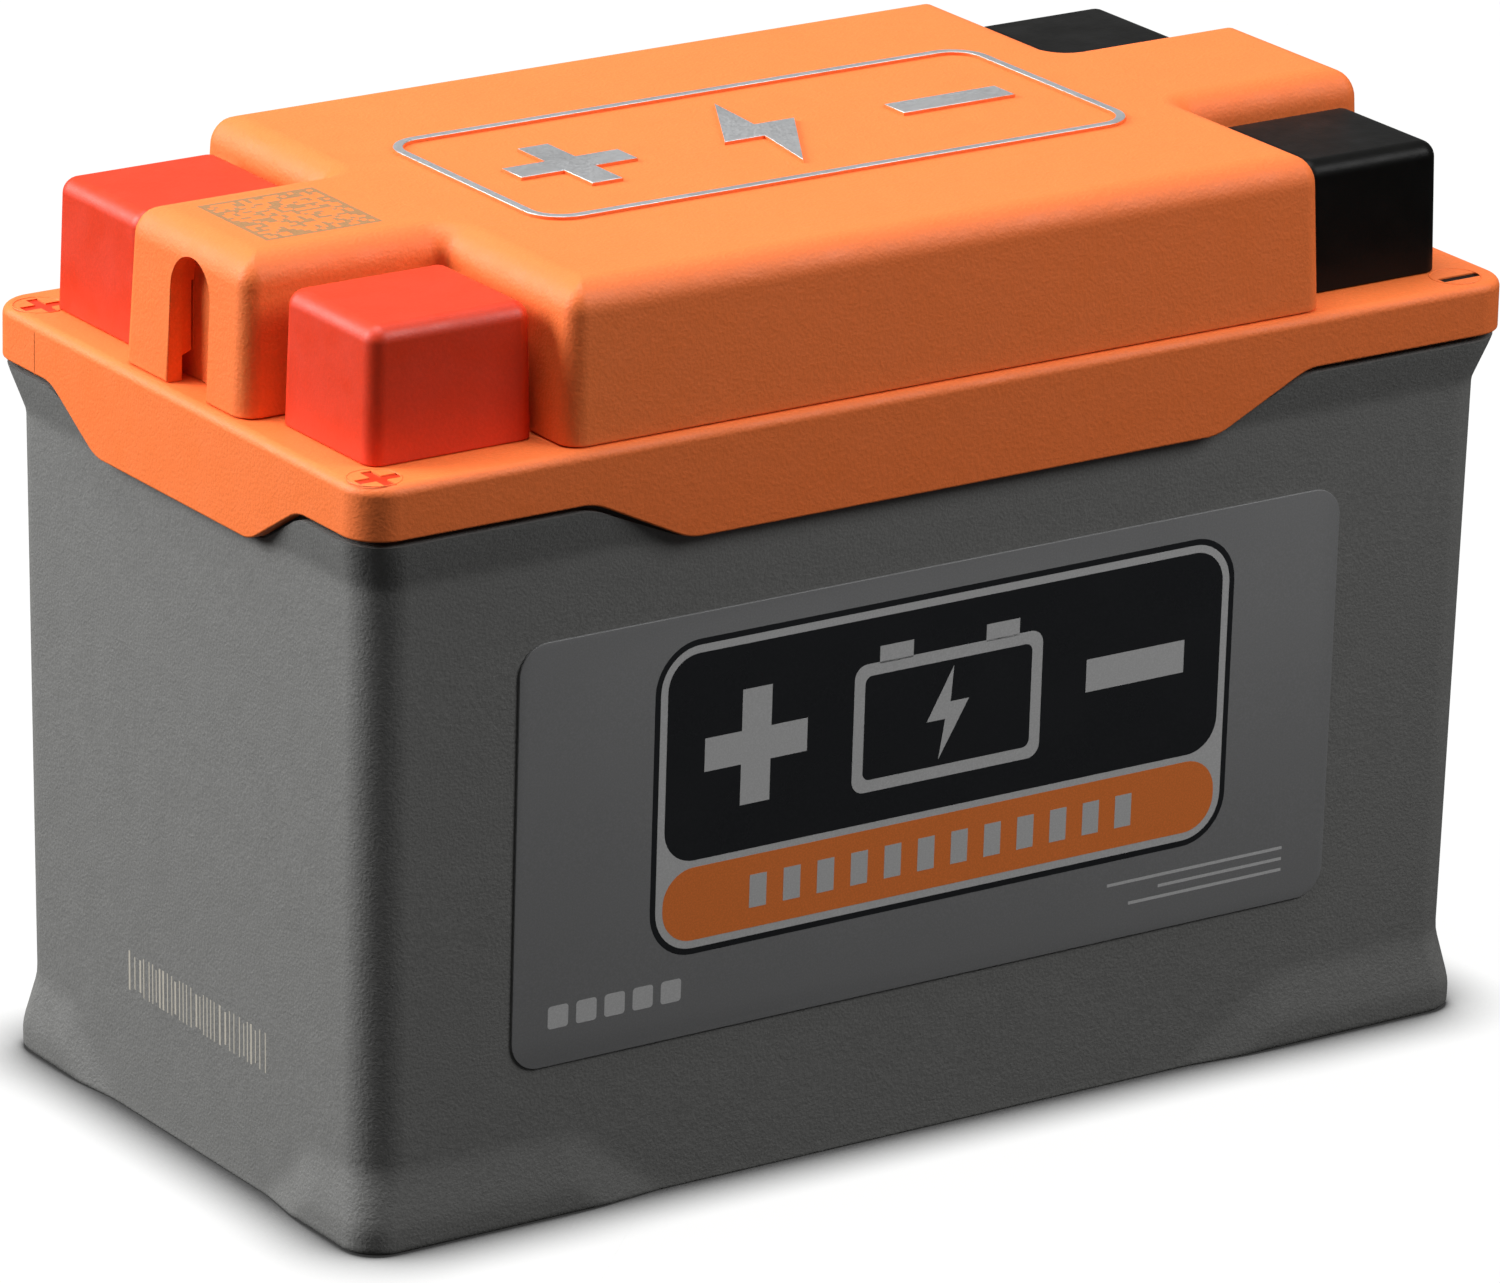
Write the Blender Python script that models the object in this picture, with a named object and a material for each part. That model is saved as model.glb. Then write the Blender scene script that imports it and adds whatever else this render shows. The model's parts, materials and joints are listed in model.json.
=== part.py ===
"""Four-terminal lithium motorcycle battery, as separate named parts. Metres, +Z up.

The origin is at the middle of the base. +X runs from the positive end to the negative
end, and the label faces -Y. Heights named ..._Z are measured from the base.
"""

import math

import bmesh
import bpy
from mathutils import Vector

MM = 0.001
GAP = 0.3 * MM  # between parts that touch
FILM_GAP = 0.1 * MM  # behind the label and the badge

# Lid: a deck with a skirt that hangs lower in the middle of each side.
LENGTH = 150 * MM
WIDTH = 78 * MM
DECK_Z = 86.7 * MM
DECK_THICKNESS = 2.5 * MM
LID_RADIUS = 4.5 * MM
LID_EDGE = 1.15 * MM
SKIRT_WALL = 1.8 * MM
SKIRT_SHORT_Z = 80.7 * MM
SKIRT_LONG_Z = 74.9 * MM
SKIRT_FOLDS_X = (46.6 * MM, 34.5 * MM)  # short skirt ends, long skirt begins, front and back
SKIRT_FOLDS_Y = (25.5 * MM, 16.0 * MM)  # the same on the two ends
DECK_WINDOW = (42 * MM, 30 * MM)

# Case: an open box with a slight draft, and corners that flare at the top and the foot.
CASE_HALF_BASE = (72.3 * MM, 36.4 * MM)
CASE_HALF_TOP = (73.3 * MM, 37.4 * MM)
CASE_RADIUS = 5.0 * MM
CASE_FLOOR = 2.5 * MM
CASE_WALL = 2.2 * MM
FOOT_FLARE = 1.2 * MM
FOOT_TOP_Z = 9.0 * MM
FOOT_BULGE_Z = 3.0 * MM
TOP_FLARE = 1.55 * MM
TOP_FLARE_Z = 74.8 * MM
SHORT_SEAM = 0.7 * MM  # under the short skirt; under the long skirt it is GAP
RIM_HALF = (72.9 * MM, 36.9 * MM)
RIM_WALL = 2.0 * MM
RIM_Z = 82.6 * MM

# Cover: a cross-shaped shell on the deck, with an arched slot in each end.
COVER_Z = 104.3 * MM
COVER_HALF = (49.0 * MM, 37.65 * MM)
COVER_ARM = (73.45 * MM, 12.45 * MM)
COVER_CORNER = 2.4 * MM
COVER_TOP_CORNER = 0.4 * MM
COVER_INNER_CORNER = 1.2 * MM
COVER_EDGE = 3.5 * MM
COVER_DRAFT = 0.3 * MM
COVER_WALL = 2.0 * MM
SLOT_Y = -1.0 * MM
SLOT_HALF_WIDTH = 4.0 * MM
SLOT_TOP_Z = 101.6 * MM
SLOT_DEPTH = 3.3 * MM
SLOT_BACK_WALL = 1.6 * MM
SIDE_POCKET_HALF_WIDTH = 8.0 * MM
SIDE_POCKET_Z = 90.4 * MM

# Terminals, each under a cap near a corner. -1 is the positive end, 1 the negative end.
TERMINAL_X = {-1: -60.2 * MM, 1: 59.45 * MM}
TERMINAL_Y = 23.5 * MM
CAP_HALF = {-1: (10.1 * MM, 9.0 * MM), 1: (9.5 * MM, 9.0 * MM)}
CAP_Z = 101.7 * MM
CAP_RADIUS = 1.9 * MM
CAP_EDGE = 1.85 * MM
CAP_DRAFT = 0.15 * MM
CAP_WALL = 1.4 * MM
POST_HALF = 6.5 * MM
POST_HEIGHT = 7.0 * MM
POST_FLOOR = 1.3 * MM
NUT_WINDOW_HALF = 5.3 * MM
NUT_WINDOW_HEIGHT = 3.5 * MM
STEM_RADIUS = 3.7 * MM
STEM_BOTTOM_Z = 82.5 * MM
STEM_HOLE_RADIUS = 4.1 * MM
BOLT_RADIUS = 3.0 * MM
BOLT_HOLE_RADIUS = 3.3 * MM
BOLT_HEAD_RADIUS = 5.77 * MM  # across corners, 10 mm across flats
BOLT_HEAD_HEIGHT = 2.8 * MM
WASHER_RADIUS = 6.0 * MM
WASHER_THICKNESS = 0.8 * MM
NUT_HALF = 5.0 * MM
NUT_THICKNESS = 2.9 * MM

# Polarity marks, sunk into the deck's corners.
MARK_X = {-1: -71.2 * MM, 1: 69.75 * MM}
MARK_Y = {-1: -35.5 * MM, 1: 33.4 * MM}
MARK_ARM = 2.6 * MM
MARK_STROKE = 0.7 * MM
MARK_DEPTH = 0.5 * MM

# Cells: eight in two rows, standing on end, two in parallel and four in series.
CELL_RADIUS = 16.0 * MM
CELL_LENGTH = 70.5 * MM
CELL_BOTTOM_Z = 5.3 * MM
CELL_PITCH_X = 33.6 * MM
CELL_ROW_Y = 16.6 * MM
HOLDER_HALF = (69.4 * MM, 33.7 * MM)
HOLDER_THICKNESS = 3.0 * MM
LOWER_HOLDER_Z = 7.0 * MM
UPPER_HOLDER_Z = 69.0 * MM
BUSBAR_THICKNESS = 0.5 * MM
BUSBAR_HALF_Y = 23.0 * MM
PAD_THICKNESS = 1.3 * MM

# Protection board and the straps around it.
SHEET_Z = 76.9 * MM
SHEET_THICKNESS = 0.3 * MM
SHEET_HALF = (35.0 * MM, 32.0 * MM)
BOARD_PAD_HALF = (34.0 * MM, 24.0 * MM)
BOARD_Z = 79.5 * MM
BOARD_THICKNESS = 1.6 * MM
BOARD_HALF = (40.0 * MM, 26.0 * MM)
STRAP_Z = 81.4 * MM
STRAP_THICKNESS = 0.8 * MM
STRAP_HALF_Y = 27.0 * MM
SENSE_X = -20.0 * MM  # connector and flexible circuit that watch each pair of cells

# Label and badge.
LABEL_X = (-54.7 * MM, 52.9 * MM)
LABEL_Z = (17.5 * MM, 65.8 * MM)
LABEL_RADIUS = 3.5 * MM
LABEL_THICKNESS = 0.15 * MM
BADGE_HALF = (39.0 * MM, 17.0 * MM)
BADGE_RADIUS = 4.5 * MM
BADGE_BAND = 1.2 * MM
BADGE_THICKNESS = 0.3 * MM
BADGE_SYMBOL_X = 25.0 * MM

CORNER_STEPS = 4
ROUND_STEPS = 20
SHARP_ANGLE = math.radians(35)


def clear_scene():
    for obj in list(bpy.data.objects):
        bpy.data.objects.remove(obj, do_unlink=True)


def material(name, colour, roughness, metallic=0.0):
    made = bpy.data.materials.new(name)
    made.use_nodes = True
    shader = made.node_tree.nodes["Principled BSDF"]
    shader.inputs["Base Color"].default_value = (*colour, 1.0)
    shader.inputs["Roughness"].default_value = roughness
    shader.inputs["Metallic"].default_value = metallic
    made.diffuse_color = (*colour, 1.0)
    return made


def finish_mesh(name, bm):
    """Turn a bmesh into a mesh with outward faces and smooth round surfaces."""
    bmesh.ops.recalc_face_normals(bm, faces=bm.faces)
    mesh = bpy.data.meshes.new(name)
    bm.to_mesh(mesh)
    bm.free()
    mesh.shade_smooth()
    mesh.set_sharp_from_angle(angle=SHARP_ANGLE)
    return mesh


def place(name, mesh, surface, location=(0, 0, 0), rotation=(0, 0, 0)):
    obj = bpy.data.objects.new(name, mesh)
    bpy.context.scene.collection.objects.link(obj)
    if not mesh.materials:
        mesh.materials.append(surface)
    obj.location = location
    obj.rotation_euler = rotation
    return obj


def cutter(name, bm, target, operation="DIFFERENCE"):
    """Add a hidden tool shape and the Boolean that uses it on the target."""
    tool = bpy.data.objects.new(name, finish_mesh(name, bm))
    bpy.context.scene.collection.objects.link(tool)
    tool.hide_render = True
    tool.display_type = "WIRE"
    boolean = target.modifiers.new(name, "BOOLEAN")
    boolean.operation = operation
    boolean.solver = "EXACT"
    boolean.object = tool
    return tool


def applied(obj, tools):
    """The object's mesh with its Booleans applied. The object and its tools are removed."""
    graph = bpy.context.evaluated_depsgraph_get()
    mesh = bpy.data.meshes.new_from_object(obj.evaluated_get(graph))
    for used in (obj, *tools):
        bpy.data.objects.remove(used, do_unlink=True)
    return mesh


def add_ring(bm, points):
    return [bm.verts.new(point) for point in points]


def bridge(bm, lower, upper):
    count = len(lower)
    for i in range(count):
        j = (i + 1) % count
        bm.faces.new((lower[i], lower[j], upper[j], upper[i]))


def loft(rings, bm=None):
    """A closed solid through a stack of equal rings, with a cap on the first and the last."""
    bm = bm or bmesh.new()
    made = [add_ring(bm, ring) for ring in rings]
    for lower, upper in zip(made, made[1:]):
        bridge(bm, lower, upper)
    bm.faces.new(list(reversed(made[0])))
    bm.faces.new(made[-1])
    return bm


def loft_loop(rings):
    """A closed band through rings whose last one joins the first one again."""
    bm = bmesh.new()
    made = [add_ring(bm, ring) for ring in rings]
    for lower, upper in zip(made, made[1:] + made[:1]):
        bridge(bm, lower, upper)
    return bm


def at_height(outline, z):
    return [(x, y, z) for x, y in outline]


def prism(outline, bottom, top, bm=None):
    return loft([at_height(outline, bottom), at_height(outline, top)], bm)


def circle(radius, steps=ROUND_STEPS, centre=(0.0, 0.0)):
    turns = [2 * math.pi * i / steps for i in range(steps)]
    return [(centre[0] + radius * math.cos(a), centre[1] + radius * math.sin(a)) for a in turns]


def rectangle(half_x, half_y, centre=(0.0, 0.0)):
    corners = ((-1, -1), (1, -1), (1, 1), (-1, 1))
    return [(centre[0] + sx * half_x, centre[1] + sy * half_y) for sx, sy in corners]


def arc(centre, radius, start, sweep, steps=CORNER_STEPS):
    angles = [start + sweep * i / steps for i in range(steps + 1)]
    return [(centre[0] + radius * math.cos(a), centre[1] + radius * math.sin(a)) for a in angles]


def rounded_rectangle(half_x, half_y, radius, steps=CORNER_STEPS):
    outline = []
    for quarter, (sx, sy) in enumerate(((1, -1), (1, 1), (-1, 1), (-1, -1))):
        centre = (sx * (half_x - radius), sy * (half_y - radius))
        outline += arc(centre, radius, (quarter - 1) * math.pi / 2, math.pi / 2, steps)
    return outline


def cross_outline(half, arm, convex, concave):
    """A plus shape: a wide middle and two arms along X, with rounded corners of both kinds."""
    corners = ((*half, convex), (half[0], arm[1], -concave), (*arm, convex))
    outline = []
    for quarter, (sx, sy) in enumerate(((1, -1), (1, 1), (-1, 1), (-1, -1))):
        for x, y, radius in corners if quarter % 2 == 0 else reversed(corners):
            centre = (sx * (x - radius), sy * (y - radius))
            middle = math.atan2(sy * radius, sx * radius)
            sweep = math.copysign(math.pi / 2, radius)
            outline += arc(centre, abs(radius), middle - sweep / 2, sweep)
    return outline


def plus_outline(arm, stroke, centre=(0.0, 0.0)):
    quarter = ((arm, -stroke), (arm, stroke), (stroke, stroke))
    outline = []
    for turn in range(4):
        cos, sin = round(math.cos(turn * math.pi / 2)), round(math.sin(turn * math.pi / 2))
        outline += [(centre[0] + x * cos - y * sin, centre[1] + x * sin + y * cos) for x, y in quarter]
    return outline


def wall_outline(half, radius, offset, height):
    """One ring of a wall whose offset and height differ between its corners and its middles.

    offset and height are pairs: the value near the corners, and the value where the skirt
    is long.
    """
    ring = []
    for side in range(4):
        angle = (side - 1) * math.pi / 2
        out = Vector((math.cos(angle), math.sin(angle)))
        along = Vector((-out.y, out.x))
        reach_out, reach_along = half if side % 2 else reversed(half)
        outer, inner = SKIRT_FOLDS_Y if side % 2 else SKIRT_FOLDS_X
        for station, kind in ((-outer, 0), (-inner, 1), (inner, 1), (outer, 0)):
            place_xy = out * (reach_out + offset[kind]) + along * station
            ring.append((place_xy.x, place_xy.y, height[kind]))
        centre = out * (reach_out - radius) + along * (reach_along - radius)
        ring += at_height(arc(centre, radius + offset[0], angle, math.pi / 2), height[0])
    return ring


def case_half(z):
    share = z / SKIRT_LONG_Z
    return [low + (high - low) * share for low, high in zip(CASE_HALF_BASE, CASE_HALF_TOP)]


def make_case(surface):
    rim_foot = (SKIRT_SHORT_Z - SHORT_SEAM, SKIRT_LONG_Z - GAP)
    rows = (
        (CASE_RADIUS, (-0.4 * MM, -0.6 * MM), (0, 0)),
        (CASE_RADIUS, (0.75 * MM, 0), (0.9 * MM, 0.5 * MM)),
        (CASE_RADIUS, (FOOT_FLARE, 0), (FOOT_BULGE_Z, FOOT_BULGE_Z)),
        (CASE_RADIUS, (0, 0), (FOOT_TOP_Z, FOOT_TOP_Z)),
        (CASE_RADIUS, (0, 0), (TOP_FLARE_Z, TOP_FLARE_Z)),
        (CASE_RADIUS - TOP_FLARE, (TOP_FLARE, 0), rim_foot),
    )
    rings = [wall_outline(case_half(max(z)), radius, offset, z) for radius, offset, z in rows]
    rings.append(wall_outline(RIM_HALF, CASE_RADIUS, (0, 0), rim_foot))
    rings.append(wall_outline(RIM_HALF, CASE_RADIUS, (0, 0), (RIM_Z, RIM_Z)))
    rings.append(wall_outline(RIM_HALF, CASE_RADIUS, (-RIM_WALL, -RIM_WALL), (RIM_Z, RIM_Z)))
    inner = (-CASE_WALL, -CASE_WALL)
    rings.append(wall_outline(case_half(CASE_FLOOR), CASE_RADIUS, inner, (CASE_FLOOR, CASE_FLOOR)))
    place("case", finish_mesh("case", loft(rings)), surface)


def make_lid(surface):
    half = (LENGTH / 2, WIDTH / 2)
    underside = DECK_Z - DECK_THICKNESS
    skirt_foot = (SKIRT_SHORT_Z, SKIRT_LONG_Z)
    rows = (
        (-SKIRT_WALL, (underside, underside)),
        (-SKIRT_WALL, skirt_foot),
        (0, skirt_foot),
        (0, (DECK_Z - LID_EDGE,) * 2),
        (-0.3 * LID_EDGE, (DECK_Z - 0.3 * LID_EDGE,) * 2),
        (-LID_EDGE, (DECK_Z, DECK_Z)),
    )
    rings = [wall_outline(half, LID_RADIUS, (offset, offset), z) for offset, z in rows]
    lid = place("lid", finish_mesh("lid", loft(rings)), surface)

    openings = prism(rounded_rectangle(*DECK_WINDOW, 3 * MM), underside - MM, DECK_Z + MM)
    for sx, sy in terminal_signs():
        hole = circle(STEM_HOLE_RADIUS, 16, (TERMINAL_X[sx], sy * TERMINAL_Y))
        prism(hole, underside - MM, DECK_Z + MM, openings)
        mark = mark_outline(sx, (MARK_X[sx], MARK_Y[sy]))
        prism(mark, DECK_Z - MARK_DEPTH, DECK_Z + MM, openings)
    cutter("lid_openings", openings, lid)


def mark_outline(side, centre):
    """A plus on the positive side, a minus on the negative side."""
    if side < 0:
        return plus_outline(MARK_ARM, MARK_STROKE, centre)
    return rectangle(MARK_ARM, MARK_STROKE, centre)


def make_lid_seal(surface):
    bottom = RIM_Z + GAP
    top = DECK_Z - DECK_THICKNESS - GAP
    outer = rounded_rectangle(RIM_HALF[0] - 0.2 * MM, RIM_HALF[1] - 0.2 * MM, CASE_RADIUS)
    inner = rounded_rectangle(RIM_HALF[0] - RIM_WALL, RIM_HALF[1] - RIM_WALL, CASE_RADIUS - RIM_WALL)
    rings = [at_height(outer, bottom), at_height(outer, top), at_height(inner, top), at_height(inner, bottom)]
    place("lid_seal", finish_mesh("lid_seal", loft_loop(rings)), surface)


def cover_ring(grow, z):
    half = [reach + grow for reach in COVER_HALF]
    arm = [reach + grow for reach in COVER_ARM]
    convex = max(COVER_CORNER + min(grow, 0), COVER_TOP_CORNER)
    return at_height(cross_outline(half, arm, convex, COVER_INNER_CORNER - min(grow, 0)), z)


def make_cover(surface):
    foot = DECK_Z + GAP
    rings = [cover_ring(COVER_DRAFT, foot), cover_ring(-COVER_DRAFT, COVER_Z - COVER_EDGE)]
    for step in (1, 2, 3):
        angle = step * math.pi / 6
        inset = COVER_EDGE * (1 - math.cos(angle))
        rise = COVER_EDGE * math.sin(angle)
        rings.append(cover_ring(-COVER_DRAFT - inset, COVER_Z - COVER_EDGE + rise))
    cover = place("top_cover", finish_mesh("top_cover", loft(rings)), surface)

    slot_back = COVER_ARM[0] - SLOT_DEPTH
    half = [reach - COVER_WALL for reach in COVER_HALF]
    arm = (slot_back - SLOT_BACK_WALL, COVER_ARM[1] - COVER_WALL)
    hollow = cross_outline(half, arm, COVER_TOP_CORNER, COVER_INNER_CORNER + COVER_WALL)
    cutter("cover_hollow", prism(hollow, foot - MM, COVER_Z - COVER_WALL), cover)

    slots = bmesh.new()
    pockets = bmesh.new()
    pocket_x = (slot_back + COVER_ARM[0] - COVER_WALL) / 2
    pocket_half = (COVER_ARM[0] - COVER_WALL - slot_back) / 2
    for side in (-1, 1):
        arch = arc((SLOT_Y, SLOT_TOP_Z - SLOT_HALF_WIDTH), SLOT_HALF_WIDTH, 0, math.pi, 8)
        arch += [(SLOT_Y - SLOT_HALF_WIDTH, foot - MM), (SLOT_Y + SLOT_HALF_WIDTH, foot - MM)]
        near = [(side * slot_back, y, z) for y, z in arch]
        far = [(side * (COVER_ARM[0] + 2 * MM), y, z) for y, z in arch]
        loft([near, far], slots)
        pocket = rectangle(pocket_half, SIDE_POCKET_HALF_WIDTH, (side * pocket_x, SLOT_Y))
        prism(pocket, foot - MM, SIDE_POCKET_Z, pockets)
    cutter("cover_end_slots", slots, cover)
    cutter("cover_side_pockets", pockets, cover)


def badge_symbols():
    """Outlines of the plus, the lightning bolt and the minus inside the badge's frame."""
    bolt = ((1.5, 11.5), (-5.5, -1.5), (-0.8, -1.5), (-2.2, -11.5), (5.5, 2.5), (0.8, 2.5))
    return {
        "badge_plus": plus_outline(7.5 * MM, 2.0 * MM, (-BADGE_SYMBOL_X, 0.0)),
        "badge_bolt": [(x * MM, y * MM) for x, y in bolt],
        "badge_minus": rectangle(7.5 * MM, 2.0 * MM, (BADGE_SYMBOL_X, 0.0)),
    }


def make_badge(surface):
    bottom = COVER_Z + FILM_GAP
    top = bottom + BADGE_THICKNESS
    outer = rounded_rectangle(*BADGE_HALF, BADGE_RADIUS)
    inner_half = [reach - BADGE_BAND for reach in BADGE_HALF]
    inner = rounded_rectangle(*inner_half, BADGE_RADIUS - BADGE_BAND)
    rings = [at_height(outer, bottom), at_height(outer, top), at_height(inner, top), at_height(inner, bottom)]
    place("badge_frame", finish_mesh("badge_frame", loft_loop(rings)), surface)
    for name, outline in badge_symbols().items():
        place(name, finish_mesh(name, prism(outline, bottom, top)), surface)


def make_label(surface):
    """A thin film on the front wall, tilted with the wall's draft."""
    middle_x = sum(LABEL_X) / 2
    middle_z = sum(LABEL_Z) / 2
    half = ((LABEL_X[1] - LABEL_X[0]) / 2, (LABEL_Z[1] - LABEL_Z[0]) / 2)
    film = prism(rounded_rectangle(*half, LABEL_RADIUS), FILM_GAP, FILM_GAP + LABEL_THICKNESS)
    tilt = math.atan2(CASE_HALF_TOP[1] - CASE_HALF_BASE[1], SKIRT_LONG_Z)
    location = (middle_x, -case_half(middle_z)[1], middle_z)
    place("front_label", finish_mesh("front_label", film), surface, location, (math.pi / 2 + tilt, 0, 0))


def terminal_signs():
    return [(sx, sy) for sx in (-1, 1) for sy in (-1, 1)]


def terminal_name(base, sx, sy):
    pole = "positive" if sx < 0 else "negative"
    end = "front" if sy < 0 else "rear"
    return f"{base}_{pole}_{end}"


def cap_mesh(outer):
    """A cup, open at the bottom, with its origin at the middle of its foot."""
    height = CAP_Z - DECK_Z - GAP

    def ring(inset, z):
        draft = CAP_DRAFT * (1 - 2 * z / height)
        half = [reach + draft - inset for reach in outer]
        return at_height(rounded_rectangle(*half, max(CAP_RADIUS - inset, 0.5 * MM)), z)

    rings = [ring(CAP_WALL, height - CAP_WALL), ring(CAP_WALL, 0), ring(0, 0), ring(0, height - CAP_EDGE)]
    for step in (1, 2, 3):
        angle = step * math.pi / 6
        inset = CAP_EDGE * (1 - math.cos(angle))
        rings.append(ring(inset, height - CAP_EDGE * (1 - math.sin(angle))))
    return finish_mesh("terminal_cap", loft(rings))


def post_mesh(surface):
    """A plated block with a window for the nut, a bolt hole and a stem through the deck."""
    block = prism(rectangle(POST_HALF, POST_HALF), 0, POST_HEIGHT)
    post = place("terminal_post", finish_mesh("terminal_post", block), surface)
    window_top = POST_FLOOR + NUT_WINDOW_HEIGHT
    window = prism(rectangle(POST_HALF + MM, NUT_WINDOW_HALF), POST_FLOOR, window_top)
    hole = prism(circle(BOLT_HOLE_RADIUS, 16), window_top - 0.5 * MM, POST_HEIGHT + MM)
    stem = prism(circle(STEM_RADIUS, 16), STEM_BOTTOM_Z - DECK_Z - GAP, 0.5 * MM)
    tools = [
        cutter("nut_window", window, post),
        cutter("bolt_hole", hole, post),
        cutter("stem", stem, post, "UNION"),
    ]
    return applied(post, tools)


def bolt_mesh():
    """Head and shank, with the origin at the middle of the head's seat."""
    steps = 12
    flat = BOLT_HEAD_RADIUS * math.cos(math.pi / 6)
    hexagon = []
    for i, (x, y) in enumerate(circle(1.0, steps)):
        reach = flat if i % 2 else BOLT_HEAD_RADIUS
        hexagon.append((x * reach, y * reach))
    shank = 6.5 * MM
    top = BOLT_HEAD_HEIGHT
    rings = [
        at_height(circle(BOLT_RADIUS - 0.6 * MM, steps), -shank),
        at_height(circle(BOLT_RADIUS, steps), -shank + 0.6 * MM),
        at_height(circle(BOLT_RADIUS, steps), 0),
        at_height(hexagon, 0),
        at_height(hexagon, top - 0.5 * MM),
        at_height(circle(flat * 0.94, steps), top),
        at_height(circle(2.3 * MM, steps), top),
        at_height(circle(1.8 * MM, steps), top - 1.2 * MM),
    ]
    return finish_mesh("terminal_bolt", loft(rings))


def washer_mesh():
    outer, inner = circle(WASHER_RADIUS, 16), circle(BOLT_HOLE_RADIUS, 16)
    rings = [
        at_height(outer, 0),
        at_height(outer, WASHER_THICKNESS),
        at_height(inner, WASHER_THICKNESS),
        at_height(inner, 0),
    ]
    return finish_mesh("bolt_washer", loft_loop(rings))


def nut_mesh():
    """A thin square nut whose outline has as many points as its round hole."""
    hole = circle(BOLT_HOLE_RADIUS, 16)
    square = []
    for x, y in hole:
        reach = NUT_HALF / max(abs(x), abs(y))
        square.append((x * reach, y * reach))
    rings = [
        at_height(square, 0),
        at_height(square, NUT_THICKNESS),
        at_height(hole, NUT_THICKNESS),
        at_height(hole, 0),
    ]
    return finish_mesh("square_nut", loft_loop(rings))


def make_terminals(surfaces):
    foot = DECK_Z + GAP
    nut_z = foot + POST_FLOOR + GAP
    washer_z = foot + POST_HEIGHT + GAP
    bolt_z = washer_z + WASHER_THICKNESS + GAP
    post = post_mesh(surfaces["tinned_brass"])
    bolt = bolt_mesh()
    washer = washer_mesh()
    nut = nut_mesh()
    caps = {side: cap_mesh(CAP_HALF[side]) for side in (-1, 1)}
    cap_surfaces = {-1: surfaces["red_plastic"], 1: surfaces["black_plastic"]}
    for sx, sy in terminal_signs():
        x, y = TERMINAL_X[sx], sy * TERMINAL_Y
        place(terminal_name("terminal_cap", sx, sy), caps[sx], cap_surfaces[sx], (x, y, foot))
        place(terminal_name("terminal_post", sx, sy), post, surfaces["tinned_brass"], (x, y, foot))
        place(terminal_name("square_nut", sx, sy), nut, surfaces["zinc_steel"], (x, y, nut_z))
        place(terminal_name("bolt_washer", sx, sy), washer, surfaces["zinc_steel"], (x, y, washer_z))
        place(terminal_name("terminal_bolt", sx, sy), bolt, surfaces["zinc_steel"], (x, y, bolt_z))


def cell_columns():
    return [(column - 1.5) * CELL_PITCH_X for column in range(4)]


def cell_mesh():
    """A steel can with a positive button, with its origin at the middle of its length."""
    half = CELL_LENGTH / 2
    shoulder = half - 0.9 * MM
    profile = (
        (CELL_RADIUS - 0.8 * MM, -half),
        (CELL_RADIUS, 0.8 * MM - half),
        (CELL_RADIUS, shoulder - 0.8 * MM),
        (CELL_RADIUS - 0.8 * MM, shoulder),
        (5.0 * MM, shoulder),
        (5.0 * MM, half),
    )
    return finish_mesh("cell", loft([at_height(circle(radius), z) for radius, z in profile]))


def make_cells(surface):
    """Neighbouring pairs stand opposite ways up, so that flat links join them in series."""
    mesh = cell_mesh()
    middle = CELL_BOTTOM_Z + CELL_LENGTH / 2
    for column, x in enumerate(cell_columns()):
        for sy, row in ((-1, "front"), (1, "rear")):
            upside_down = math.pi if column % 2 else 0.0
            location = (x, sy * CELL_ROW_Y, middle)
            place(f"cell_{row}_{column + 1}", mesh, surface, location, (upside_down, 0, 0))


def make_holders(surface):
    for name, z in (("lower_cell_holder", LOWER_HOLDER_Z), ("upper_cell_holder", UPPER_HOLDER_Z)):
        plate = prism(rounded_rectangle(*HOLDER_HALF, CASE_RADIUS), z, z + HOLDER_THICKNESS)
        holder = place(name, finish_mesh(name, plate), surface)
        holes = bmesh.new()
        for x in cell_columns():
            for sy in (-1, 1):
                outline = circle(CELL_RADIUS + GAP, ROUND_STEPS, (x, sy * CELL_ROW_Y))
                prism(outline, z - MM, z + HOLDER_THICKNESS + MM, holes)
        cutter(name + "_holes", holes, holder)


def busbar(name, first, last, z, surface):
    """A flat link over the cell columns from first to last, both included."""
    columns = cell_columns()
    middle = (columns[first] + columns[last]) / 2
    half_x = (columns[last] - columns[first]) / 2 + 9 * MM
    plate = prism(rounded_rectangle(half_x, BUSBAR_HALF_Y, 3 * MM, 2), 0, BUSBAR_THICKNESS)
    place(name, finish_mesh(name, plate), surface, (middle, 0, z))


def make_busbars(surface):
    bottom = CELL_BOTTOM_Z - GAP - BUSBAR_THICKNESS
    top = CELL_BOTTOM_Z + CELL_LENGTH + GAP
    busbar("busbar_bottom_positive_end", 0, 1, bottom, surface)
    busbar("busbar_bottom_negative_end", 2, 3, bottom, surface)
    busbar("busbar_top_positive", 0, 0, top, surface)
    busbar("busbar_top_middle", 1, 2, top, surface)
    busbar("busbar_top_negative", 3, 3, top, surface)


def slab(name, half, z, thickness, surface, centre=(0.0, 0.0), radius=1.0 * MM):
    plate = prism(rounded_rectangle(*half, radius, 2), 0, thickness)
    return place(name, finish_mesh(name, plate), surface, (*centre, z))


def bent_strip(name, profile, half_y, surface):
    """A sheet-metal strip: an XZ profile extruded along Y."""
    near = [(x, -half_y, z) for x, z in profile]
    far = [(x, half_y, z) for x, z in profile]
    place(name, finish_mesh(name, loft([near, far])), surface)


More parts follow.
